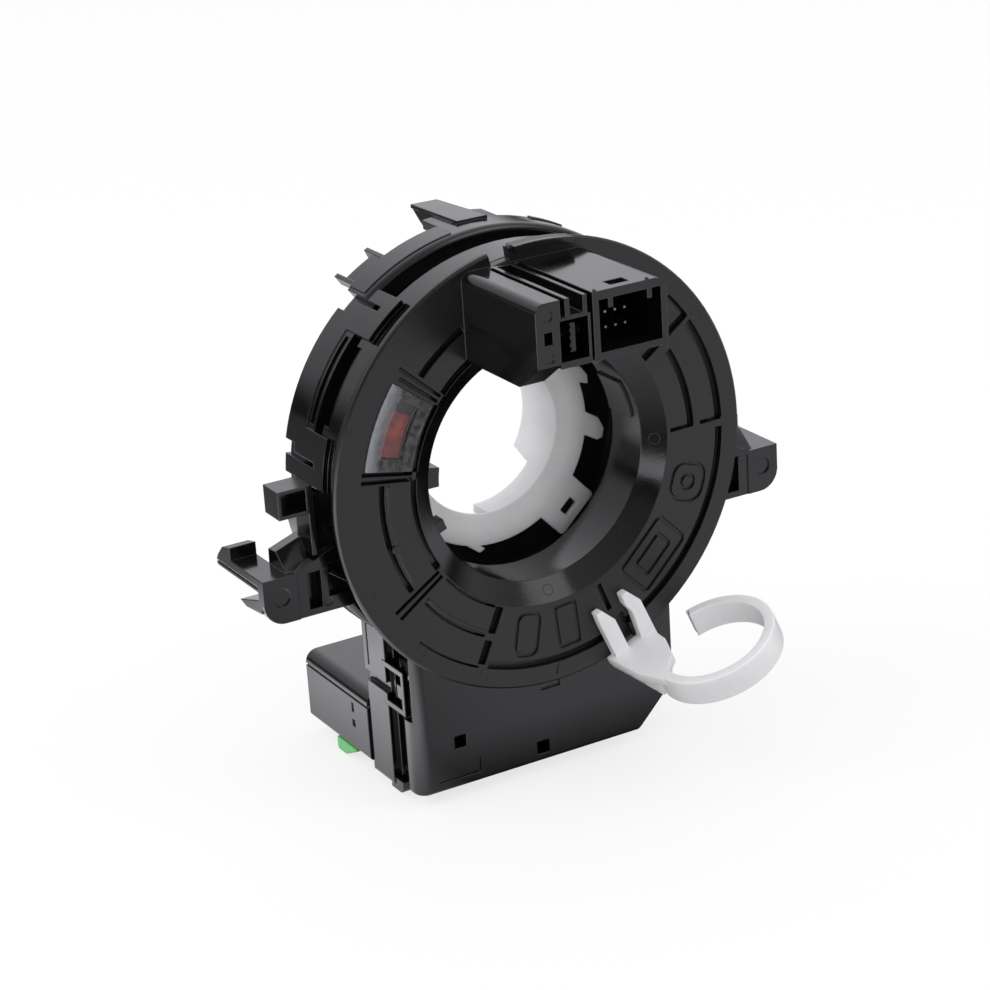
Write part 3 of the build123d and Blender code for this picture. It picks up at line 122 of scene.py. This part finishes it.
# ---- Materials ----------------------------------------------------------------------------------
MIX_FIRST, MIX_SECOND = 6, 7            # colour inputs of a Mix node, and
MIX_RESULT = 2                          # its colour output
NOISE_LOW, NOISE_HIGH = 0.35, 0.65      # nearly all of a Noise texture lies between these
EDGE_MM = 0.38                          # width of a moulded edge that only its material rounds
EDGE_SAMPLES = 6
ROTOR_BLOCK_REACH = 31.0                # the connector block stands this far in front of the face
FACE_GRAIN = 0.20                       # the grain adds this to the roughness of the face
FACE_GRAIN_START = (-0.5, -0.2)         # it sets in between these depths, counted from the face
FUNNEL_EDGE = (32.9, 33.6)              # and between these radii, where the funnel ends
SINK_MM = 12.0                          # width of the sink marks on the casings,
SINK_DEPTH = 0.10                       # and their depth
LENS_CLEAR = (37.1, 42.9, 145.0, 164.4)   # clear part of the lens: radii in mm and angles in degrees
LENS_EDGE = (0.2, 0.3)                  # its border fades over so many mm and degrees
LENS_WORN = (42.6, 47.0, 0.93, 0.45)    # two radii, and the share of light that the rim passes there
LENS_WEAR_MM = 1.4                      # size of the worn patches


def colour(code):
    """sRGB hex code as linear light, opaque."""
    linear = []
    for start in (1, 3, 5):
        value = int(code[start:start + 2], 16) / 255
        linear.append(value / 12.92 if value <= 0.04045 else ((value + 0.055) / 1.055) ** 2.4)
    return (*linear, 1.0)


def add_node(tree, kind, settings=None, links=None):
    """Adds a node; settings go to its sockets or attributes, links go to its sockets."""
    node = tree.nodes.new(kind)
    for key, value in (settings or {}).items():
        if isinstance(key, int) or key in node.inputs:
            node.inputs[key].default_value = value
        else:
            setattr(node, key, value)
    for key, source in (links or {}).items():
        tree.links.new(source, node.inputs[key])
    return node


def new_material(name):
    """Empty material and its node tree."""
    made = bpy.data.materials.new(name)
    made.use_nodes = True
    made.node_tree.nodes.clear()
    return made, made.node_tree


def per_metre(size_mm):
    """Texture scale at which one cell of the pattern is size_mm wide."""
    return 1.0 / (size_mm * MM)


def span(low, high, out_low, out_high):
    """Settings that map one range onto another."""
    return {"From Min": low, "From Max": high, "To Min": out_low, "To Max": out_high}


def axis_radius(tree, coords):
    """Object coordinates split in three, and the distance from the part's axis."""
    parts = add_node(tree, "ShaderNodeSeparateXYZ", None, {0: coords.outputs["Object"]})
    flat = add_node(tree, "ShaderNodeCombineXYZ", None,
                    {"X": parts.outputs["X"], "Y": parts.outputs["Z"]})
    radius = add_node(tree, "ShaderNodeVectorMath", {"operation": "LENGTH"}, {0: flat.outputs[0]})
    return parts, radius.outputs["Value"]


def moulded(name, tones, gloss, patch_mm, grain_mm, depth_mm, shader_settings, edge_mm=0.0):
    """Injection-moulded plastic: flow patches shift its tone and gloss, tool grain breaks highlights,
    and edges that are not rounded in the mesh catch light over edge_mm.
    Returns the material, its tree, its shader, its coordinates and its gloss."""
    made, tree = new_material(name)
    coords = add_node(tree, "ShaderNodeTexCoord")
    place = {"Vector": coords.outputs["Object"]}
    patches = add_node(tree, "ShaderNodeTexNoise", {"Scale": per_metre(patch_mm), "Detail": 3.0}, place)
    shift = add_node(tree, "ShaderNodeMapRange", span(NOISE_LOW, NOISE_HIGH, 0.0, 1.0),
                     {"Value": patches.outputs["Fac"]})
    tone = add_node(tree, "ShaderNodeMix", {"data_type": "RGBA", MIX_FIRST: colour(tones[0]),
                    MIX_SECOND: colour(tones[1])}, {0: shift.outputs["Result"]})
    rough = add_node(tree, "ShaderNodeMapRange", span(0.0, 1.0, *gloss), {"Value": shift.outputs["Result"]})
    grain = add_node(tree, "ShaderNodeTexNoise", {"Scale": per_metre(grain_mm), "Detail": 2.0}, place)
    relief = add_node(tree, "ShaderNodeBump", {"Distance": depth_mm * MM}, {"Height": grain.outputs["Fac"]})
    if edge_mm:
        edges = add_node(tree, "ShaderNodeBevel", {"Radius": edge_mm * MM, "samples": EDGE_SAMPLES})
        tree.links.new(edges.outputs["Normal"], relief.inputs["Normal"])
    shader = add_node(tree, "ShaderNodeBsdfPrincipled", shader_settings, {
        "Base Color": tone.outputs[MIX_RESULT], "Roughness": rough.outputs["Result"],
        "Normal": relief.outputs["Normal"]})
    add_node(tree, "ShaderNodeOutputMaterial", None, {"Surface": shader.outputs[0]})
    return made, tree, shader, coords, rough


def polyester_black():
    """Glass-filled polyester, polished tool: deep black, sharp reflections that waver over the sink
    marks of the wall behind."""
    made, tree, shader, coords = moulded("polyester_black_polished", ("#09090A", "#0D0D0F"),
                                         (0.10, 0.18), 14.0, 0.5, 0.004, {"IOR": 1.57}, EDGE_MM)[:4]
    sinks = add_node(tree, "ShaderNodeTexNoise", {"Scale": per_metre(SINK_MM), "Detail": 1.0},
                     {"Vector": coords.outputs["Object"]})
    waver = add_node(tree, "ShaderNodeBump", {"Distance": SINK_DEPTH * MM},
                     {"Height": sinks.outputs["Fac"], "Normal": shader.inputs["Normal"].links[0].from_socket})
    tree.links.new(waver.outputs["Normal"], shader.inputs["Normal"])
    return made


def acetal_black():
    """Black acetal: the face has a fine spark-eroded grain and looks satin, while the funnel, the hub
    tube and the connector block come from polished steel and are glossy."""
    made, tree, shader, coords, rough = moulded("acetal_black_moulded", ("#0A0A0B", "#0F0F10"),
                                                (0.10, 0.17), 12.0, 0.55, 0.009, {"IOR": 1.55}, EDGE_MM)
    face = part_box("rotor_housing")[0][1] + ROTOR_BLOCK_REACH * MM
    parts, radius = axis_radius(tree, coords)
    start, full = (face + depth * MM for depth in FACE_GRAIN_START)
    outside = add_node(tree, "ShaderNodeMapRange",
                       span(FUNNEL_EDGE[0] * MM, FUNNEL_EDGE[1] * MM, 0.0, FACE_GRAIN), {"Value": radius})
    behind = add_node(tree, "ShaderNodeMapRange", span(start, full, 0.0, FACE_GRAIN),
                      {"Value": parts.outputs["Y"]})
    satin = add_node(tree, "ShaderNodeMath", {"operation": "MINIMUM"},
                     {0: outside.outputs["Result"], 1: behind.outputs["Result"]})
    total = add_node(tree, "ShaderNodeMath", {"operation": "ADD"},
                     {0: rough.outputs["Result"], 1: satin.outputs[0]})
    tree.links.new(total.outputs[0], shader.inputs["Roughness"])
    return made


def acetal_inner():
    """Black acetal from a matt tool, for the covered rings: soft, broad highlights."""
    return moulded("acetal_black_matt", ("#0B0B0B", "#101010"), (0.32, 0.42), 12.0, 0.5, 0.01,
                   {"IOR": 1.55})[0]


def nylon_white():
    """Unfilled nylon, natural white: light sinks in and comes out soft, the skin is satin."""
    return moulded("nylon_natural_moulded", ("#E6E6E9", "#ECECEE"), (0.32, 0.42), 9.0, 0.8, 0.010,
                   {"IOR": 1.53, "Subsurface Weight": 0.6, "Subsurface Radius": (2.4, 2.2, 2.0),
                    "Subsurface Scale": MM})[0]


def acetal_cream():
    """Natural acetal: cream white, waxy, for the small gears and the ribbon's end blocks."""
    return moulded("acetal_natural", ("#DDD8CB", "#E9E5DA"), (0.38, 0.48), 5.0, 0.6, 0.008,
                   {"IOR": 1.48, "Subsurface Weight": 0.2, "Subsurface Radius": (1.5, 1.4, 1.2),
                    "Subsurface Scale": MM})[0]


def nylon_green():
    """Green nylon slide: light passes its thin edges, so it glows a little."""
    return moulded("nylon_green_moulded", ("#4FA85A", "#6CC274"), (0.30, 0.42), 6.0, 0.6, 0.008,
                   {"IOR": 1.53, "Subsurface Weight": 0.3, "Subsurface Radius": (0.6, 1.6, 0.8),
                    "Subsurface Scale": MM})[0]


def acetal_red():
    """Red-orange acetal seen through the lens. Its random darker patches are painted shade for the shadow in
    the window well, and its bright tone is raised as painted light to make up for that shade.
    """
    return moulded("acetal_red_orange", ("#A8301F", "#FF5F40"), (0.35, 0.50), 3.0, 0.6, 0.01,
                   {"IOR": 1.48})[0]


def acrylic_lens():
    """Clear acrylic: the rim is worn milky, most at its outer edge, and the middle is polished, so
    that the red piece shows."""
    made, tree = new_material("acrylic_clear_and_frosted")
    coords = add_node(tree, "ShaderNodeTexCoord")
    parts, radius = axis_radius(tree, coords)
    angle = add_node(tree, "ShaderNodeMath", {"operation": "ARCTAN2"},
                     {0: parts.outputs["Z"], 1: parts.outputs["X"]})
    inner, outer = (size * MM for size in LENS_CLEAR[:2])
    first, last = (math.radians(size) for size in LENS_CLEAR[2:])
    edge, turn = LENS_EDGE[0] * MM, math.radians(LENS_EDGE[1])
    clear = add_node(tree, "ShaderNodeMapRange", span(inner, inner + edge, 0.0, 1.0), {"Value": radius})
    for source, low, high in ((radius, outer, outer - edge),
                              (angle.outputs[0], first, first + turn),
                              (angle.outputs[0], last, last - turn)):
        side = add_node(tree, "ShaderNodeMapRange", span(low, high, 0.0, 1.0), {"Value": source})
        clear = add_node(tree, "ShaderNodeMath", {"operation": "MULTIPLY"},
                         {0: clear.outputs[0], 1: side.outputs[0]})
    wear = add_node(tree, "ShaderNodeTexNoise", {"Scale": per_metre(LENS_WEAR_MM), "Detail": 4.0},
                    {"Vector": coords.outputs["Object"]})
    worn = add_node(tree, "ShaderNodeMapRange", span(NOISE_LOW, NOISE_HIGH, -0.05, 0.05),
                    {"Value": wear.outputs["Fac"]})
    milky = add_node(tree, "ShaderNodeMapRange",
                     span(LENS_WORN[0] * MM, LENS_WORN[1] * MM, *LENS_WORN[2:]), {"Value": radius})
    mixed = add_node(tree, "ShaderNodeMath", {"operation": "ADD"},
                     {0: milky.outputs[0], 1: worn.outputs[0]})
    passing = add_node(tree, "ShaderNodeMath", {"operation": "MAXIMUM"},
                       {0: mixed.outputs[0], 1: clear.outputs[0]})
    rough = add_node(tree, "ShaderNodeMapRange", span(0.0, 1.0, 0.42, 0.05), {"Value": clear.outputs[0]})
    relief = add_node(tree, "ShaderNodeBump", {"Distance": 0.02 * MM}, {"Height": wear.outputs["Fac"]})
    shader = add_node(tree, "ShaderNodeBsdfPrincipled", {
        "IOR": 1.49, "Specular IOR Level": 0.3, "Base Color": colour("#D3D6DC")}, {
        "Transmission Weight": passing.outputs[0], "Roughness": rough.outputs[0],
        "Normal": relief.outputs["Normal"]})
    add_node(tree, "ShaderNodeOutputMaterial", None, {"Surface": shader.outputs[0]})
    return made


def brass_tinned():
    """Brass strip, stamped and tin plated, with fine drawing lines along the pin; its pale metal colour is
    darkened as painted shade for the dark inside of the sockets.
    """
    made, tree = new_material("brass_tin_plated")
    coords = add_node(tree, "ShaderNodeTexCoord")
    along = add_node(tree, "ShaderNodeMapping", {"Scale": (1.0, 0.04, 1.0)},
                     {"Vector": coords.outputs["Object"]})
    lines = add_node(tree, "ShaderNodeTexNoise", {"Scale": per_metre(0.08), "Detail": 2.0},
                     {"Vector": along.outputs["Vector"]})
    tone = add_node(tree, "ShaderNodeMix", {"data_type": "RGBA", MIX_FIRST: colour("#86817A"),
                    MIX_SECOND: colour("#A39E93")}, {0: lines.outputs["Fac"]})
    rough = add_node(tree, "ShaderNodeMapRange", span(0.3, 0.7, 0.22, 0.36), {"Value": lines.outputs["Fac"]})
    shader = add_node(tree, "ShaderNodeBsdfPrincipled", {"Metallic": 1.0}, {
        "Base Color": tone.outputs[MIX_RESULT], "Roughness": rough.outputs[0]})
    add_node(tree, "ShaderNodeOutputMaterial", None, {"Surface": shader.outputs[0]})
    return made


def ribbon_film():
    """Copper tracks laminated in polyester film: copper lines show through amber, 0.9 mm apart."""
    made, tree = new_material("polyester_film_over_copper")
    coords = add_node(tree, "ShaderNodeTexCoord")
    tracks = add_node(tree, "ShaderNodeTexWave", {"bands_direction": "Y",
                      "Scale": per_metre(0.9) / math.tau}, {"Vector": coords.outputs["Object"]})
    tone = add_node(tree, "ShaderNodeMix", {"data_type": "RGBA", MIX_FIRST: colour("#6B3F1A"),
                    MIX_SECOND: colour("#B9763B")}, {0: tracks.outputs["Fac"]})
    rough = add_node(tree, "ShaderNodeMapRange", span(0.0, 1.0, 0.3, 0.4), {"Value": tracks.outputs["Fac"]})
    shader = add_node(tree, "ShaderNodeBsdfPrincipled", {"IOR": 1.6, "Coat Weight": 0.5}, {
        "Base Color": tone.outputs[MIX_RESULT], "Roughness": rough.outputs[0]})
    add_node(tree, "ShaderNodeOutputMaterial", None, {"Surface": shader.outputs[0]})
    return made


def board_green():
    """Glass-fibre board under green solder mask: tracks stand a little proud and look lighter."""
    made, tree = new_material("fibreglass_board_green")
    coords = add_node(tree, "ShaderNodeTexCoord")
    grid = add_node(tree, "ShaderNodeTexBrick", {
        "Scale": per_metre(6.0), "Mortar Size": 0.03, "Color1": colour("#0E4A2A"),
        "Color2": colour("#125634"), "Mortar": colour("#2C7A4E")}, {"Vector": coords.outputs["Object"]})
    rough = add_node(tree, "ShaderNodeMapRange", span(0.0, 1.0, 0.3, 0.42), {"Value": grid.outputs["Fac"]})
    relief = add_node(tree, "ShaderNodeBump", {"Distance": 0.02 * MM}, {"Height": grid.outputs["Fac"]})
    shader = add_node(tree, "ShaderNodeBsdfPrincipled", {"IOR": 1.55, "Coat Weight": 0.3}, {
        "Base Color": grid.outputs["Color"], "Roughness": rough.outputs[0],
        "Normal": relief.outputs["Normal"]})
    add_node(tree, "ShaderNodeOutputMaterial", None, {"Surface": shader.outputs[0]})
    return made


def chip_epoxy():
    """Moulding compound of the chips: matt black with a fine speckle of filler."""
    return moulded("epoxy_moulding_compound", ("#17181A", "#25272A"), (0.50, 0.65), 0.3, 0.2, 0.004,
                   {"IOR": 1.55})[0]


def board_component():
    """Ceramic chip parts and a can capacitor: tan bodies, tinned ends."""
    return moulded("ceramic_and_tin", ("#8A6F4E", "#B9B6AE"), (0.35, 0.50), 1.6, 0.2, 0.004,
                   {"IOR": 1.6})[0]


def ferrite():
    """Plastic-bonded ferrite: dark grey with a slightly metallic grain."""
    return moulded("bonded_ferrite", ("#2B2B2E", "#3A3A3F"), (0.40, 0.55), 0.25, 0.2, 0.004,
                   {"Metallic": 0.4})[0]


# ---- CAD pieces: finish and rounded edges -------------------------------------------------------
WELD_DISTANCE = 0.001 * MM
ROUNDING_SEGMENTS = 2
SHARP_ANGLE = 28.0            # edges that turn by more than this are rounded


def soften(piece, width_mm):
    """Rounds the moulded edges: the loose triangles are joined, then the sharp edges bevelled."""
    weld = piece.modifiers.new("join_triangles", "WELD")
    weld.merge_threshold = WELD_DISTANCE
    bevel = piece.modifiers.new("round_edges", "BEVEL")
    bevel.width = width_mm * MM
    bevel.segments = ROUNDING_SEGMENTS
    bevel.limit_method = "ANGLE"
    bevel.angle_limit = math.radians(SHARP_ANGLE)
    bevel.use_clamp_overlap = False
    shade = piece.modifiers.new("even_shading", "WEIGHTED_NORMAL")
    shade.keep_sharp = False


def finish_nodes():
    """Gives each node its material and the width in mm of its rounded edges, 0 where the material
    rounds them or where they stay sharp. Returns the matt black."""
    rotor_black = acetal_black()
    casing_black = polyester_black()
    inner_black = acetal_inner()
    white = nylon_white()
    metal = brass_tinned()
    natural = acetal_cream()
    magnet = ferrite()
    chip = chip_epoxy()
    finishes = {
        "rotor_housing": (rotor_black, 0.0),
        "front_casing": (casing_black, 0.0),
        "rear_casing": (casing_black, 0.0),
        "gear_cover": (inner_black, 0.15),
        "plug_shroud": (casing_black, 0.0),
        "gear_ring": (inner_black, 0.12),
        "hub_ring": (white, 0.25),
        "lock_key": (white, 0.3),
        "window_lens": (acrylic_lens(), 0.15),
        "centre_marker": (acetal_red(), 0.1),
        "plug_lock": (nylon_green(), 0.3),
        "signal_pins": (metal, 0.08),
        "airbag_terminals": (metal, 0.08),
        "plug_pins": (metal, 0.08),
        "ribbon_cable": (ribbon_film(), 0.0),
        "ribbon_guide": (inner_black, 0.1),
        "inner_terminal": (natural, 0.1),
        "outer_terminal": (natural, 0.1),
        "sensor_gear_a": (natural, 0.08),
        "sensor_gear_b": (natural, 0.08),
        "gear_magnet_a": (magnet, 0.1),
        "gear_magnet_b": (magnet, 0.1),
        "circuit_board": (board_green(), 0.1),
        "angle_sensor_chips": (chip, 0.08),
        "controller_chip": (chip, 0.08),
        "board_parts": (board_component(), 0.08),
    }
    for name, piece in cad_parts.items():
        finish, edge_mm = finishes[name]
        piece.data.materials.clear()
        piece.data.materials.append(finish)
        if edge_mm:
            soften(piece, edge_mm)
    return inner_black


# ---- Ejector pin marks on the rotor -------------------------------------------------------------
MARK_RADIUS = 1.4
MARK_WIDTH = 0.22
MARK_HEIGHT = 0.05            # the ring stands this proud, and reaches as far into the face
MARK_DIP = 1.6 * MARK_HEIGHT  # its middle lies this much lower, inside the face
MARK_ROUNDING = 0.3 * MARK_HEIGHT
MARK_SIDES = 40
FACE_MARK_RADIUS = 49.8       # distance of the face's marks from the axis, and their directions
FACE_MARKS = (133.8, 157.7, -157.4, -133.7, -112.3, 32.4)
FUNNEL_MARK_RADIUS = 30.6     # the same for the marks on the funnel
FUNNEL_MARKS = (-1.7, -45.3, -90.0)
FUNNEL_RADII = (28.0, 33.2)   # inner and outer end of the funnel's slope
FUNNEL_DEPTH = 3.3
FACES_UP = 0.9                # a face whose normal rises more than this faces up


def ejector_ring():
    """Faint raised ring that an ejector pin leaves, facing up at the origin."""
    bpy.ops.object.select_all(action="DESELECT")
    bpy.ops.mesh.primitive_cylinder_add(vertices=MARK_SIDES, radius=MARK_RADIUS * MM,
                                        depth=2 * MARK_HEIGHT * MM)
    ring = bpy.context.active_object
    bpy.ops.object.mode_set(mode="EDIT")
    bpy.ops.mesh.select_mode(type="FACE")
    bpy.ops.mesh.select_all(action="DESELECT")
    bpy.ops.object.mode_set(mode="OBJECT")
    for face in ring.data.polygons:
        face.select = face.normal.z > FACES_UP
    bpy.ops.object.mode_set(mode="EDIT")
    bpy.ops.mesh.inset(thickness=MARK_WIDTH * MM)
    bpy.ops.mesh.extrude_region_move(TRANSFORM_OT_translate={"value": (0, 0, -MARK_DIP * MM)})
    bpy.ops.object.mode_set(mode="OBJECT")
    edge = ring.modifiers.new("soft_edge", "BEVEL")
    edge.width = MARK_ROUNDING * MM
    bpy.ops.object.modifier_apply(modifier=edge.name)
    return ring


def add_ejector_marks(finish):
    """Copies of the ring on the rotor's face and on the slope of its funnel."""
    ring = ejector_ring()
    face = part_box("rotor_housing")[0][1] + ROTOR_BLOCK_REACH * MM
    slope = math.atan2(FUNNEL_DEPTH, FUNNEL_RADII[1] - FUNNEL_RADII[0])
    sunk = (FUNNEL_RADII[1] - FUNNEL_MARK_RADIUS) * math.tan(slope) * MM
    rows = [(FACE_MARK_RADIUS, angle, face, 0.0) for angle in FACE_MARKS]
    rows += [(FUNNEL_MARK_RADIUS, angle, face + sunk, slope) for angle in FUNNEL_MARKS]
    for number, (radius, angle, depth, tilt) in enumerate(rows, 1):
        out = Vector((math.cos(math.radians(angle)), 0.0, math.sin(math.radians(angle))))
        place = out * radius * MM + Vector((0.0, depth, 0.0))
        normal = -out * math.sin(tilt) + Vector((0.0, -math.cos(tilt), 0.0))
        mark = bpy.data.objects.new(f"ejector_mark_{number}", ring.data.copy())
        turn = normal.to_track_quat("Z", "Y").to_matrix().to_4x4()
        mark.data.transform(Matrix.Translation(place) @ turn)
        bpy.context.scene.collection.objects.link(mark)
        mark.data.materials.clear()
        mark.data.materials.append(finish)
        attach(mark, "rotor")
    bpy.data.objects.remove(ring)


# ---- Floor and surroundings ---------------------------------------------------------------------
def seen_background(tree, shaded, white, mirrored):
    """The white shows to the eye and straight through clear plastic, and gloss sees its own light,
    also where the gloss lies inside the plastic."""
    path = add_node(tree, "ShaderNodeLightPath")
    bounced = add_node(tree, "ShaderNodeMath", {"operation": "MINIMUM", 1: 1.0},
                       {0: path.outputs["Glossy Depth"]})
    straight = add_node(tree, "ShaderNodeMath", {"operation": "SUBTRACT", 0: 1.0},
                        {1: bounced.outputs[0]})
    through = add_node(tree, "ShaderNodeMath", {"operation": "MULTIPLY"},
                       {0: path.outputs["Is Transmission Ray"], 1: straight.outputs[0]})
    seen = add_node(tree, "ShaderNodeMath", {"operation": "MAXIMUM"},
                    {0: path.outputs["Is Camera Ray"], 1: through.outputs[0]})
    inside = add_node(tree, "ShaderNodeMath", {"operation": "MULTIPLY"},
                      {0: path.outputs["Is Transmission Ray"], 1: bounced.outputs[0]})
    gloss = add_node(tree, "ShaderNodeMath", {"operation": "MAXIMUM"},
                     {0: path.outputs["Is Glossy Ray"], 1: inside.outputs[0]})
    lit = add_node(tree, "ShaderNodeMixShader", None, {0: gloss.outputs[0], 1: shaded, 2: mirrored})
    return add_node(tree, "ShaderNodeMixShader", None,
                    {0: seen.outputs[0], 1: lit.outputs[0], 2: white})


def add_floor():
    """Pale floor under the lowest piece; it stays white to the eye and keeps a soft shadow. Gloss sees
    the pools of light on it."""
    low = cad_box[0][2] - FLOOR_GAP
    bpy.ops.mesh.primitive_plane_add(size=FLOOR_SIZE, location=(0, 0, low))
    floor = bpy.context.active_object
    floor.name = "floor"
    made, tree = new_material("floor_paper_white")
    paper = add_node(tree, "ShaderNodeBsdfDiffuse", {"Color": colour("#BEBEBE")})
    pale = add_node(tree, "ShaderNodeBsdfDiffuse", {"Color": colour("#F4F4F4")})
    glow = add_node(tree, "ShaderNodeEmission", {"Strength": 1.0})
    lit = add_node(tree, "ShaderNodeMixShader", {0: PAPER_GLOW}, {1: pale.outputs[0], 2: glow.outputs[0]})
    coords = add_node(tree, "ShaderNodeTexCoord")
    parts = add_node(tree, "ShaderNodeSeparateXYZ", None, {0: coords.outputs["Object"]})
    light = None
    for pool in FLOOR_POOLS:
        faded = None
        for axis, *reach in pool:
            fade = add_node(tree, "ShaderNodeMapRange", span(*reach), {"Value": parts.outputs[axis]})
            faded = fade if faded is None else add_node(tree, "ShaderNodeMath", {"operation": "MULTIPLY"},
                                                        {0: faded.outputs[0], 1: fade.outputs[0]})
        light = faded if light is None else add_node(tree, "ShaderNodeMath", {"operation": "ADD"},
                                                     {0: light.outputs[0], 1: faded.outputs[0]})
    total = add_node(tree, "ShaderNodeMath", {"operation": "ADD", 1: FLOOR_REST}, {0: light.outputs[0]})
    mirrored = add_node(tree, "ShaderNodeEmission", {"Color": colour(GLOSS_TINT)},
                        {"Strength": total.outputs[0]})
    shown = seen_background(tree, paper.outputs[0], lit.outputs[0], mirrored.outputs[0])
    add_node(tree, "ShaderNodeOutputMaterial", None, {"Surface": shown.outputs[0]})
    floor.data.materials.append(made)


def add_world():
    """White studio; gloss sees a room that is dimmer in front, on the left and near the horizon."""
    world = bpy.data.worlds.new("studio_white")
    bpy.context.scene.world = world
    world.use_nodes = True
    tree = world.node_tree
    tree.nodes.clear()
    soft = add_node(tree, "ShaderNodeBackground", {"Color": colour("#FFFFFF"), "Strength": WORLD_LEVEL})
    white = add_node(tree, "ShaderNodeBackground", {"Color": colour("#FFFFFF"), "Strength": 1.0})
    coords = add_node(tree, "ShaderNodeTexCoord")
    parts = add_node(tree, "ShaderNodeSeparateXYZ", None, {0: coords.outputs["Generated"]})
    depth = add_node(tree, "ShaderNodeMapRange", span(*ROOM_DEPTH), {"Value": parts.outputs["Y"]})
    side = add_node(tree, "ShaderNodeMapRange", span(*ROOM_SIDE), {"Value": parts.outputs["X"]})
    height = add_node(tree, "ShaderNodeMapRange", span(*ROOM_HEIGHT), {"Value": parts.outputs["Z"]})
    across = add_node(tree, "ShaderNodeMath", {"operation": "MULTIPLY"},
                      {0: depth.outputs[0], 1: side.outputs[0]})
    light = add_node(tree, "ShaderNodeMath", {"operation": "MULTIPLY"},
                     {0: across.outputs[0], 1: height.outputs[0]})
    mirrored = add_node(tree, "ShaderNodeBackground", {"Color": colour(GLOSS_TINT)},
                        {"Strength": light.outputs[0]})
    shown = seen_background(tree, soft.outputs[0], white.outputs[0], mirrored.outputs[0])
    add_node(tree, "ShaderNodeOutputWorld", None, {"Surface": shown.outputs[0]})


# ---- Scene --------------------------------------------------------------------------------------
bpy.context.scene.view_settings.view_transform = "Standard"
add_camera()
add_world()
add_floor()
for lamp_row in LAMPS:
    add_lamp(*lamp_row)
add_ejector_marks(finish_nodes())
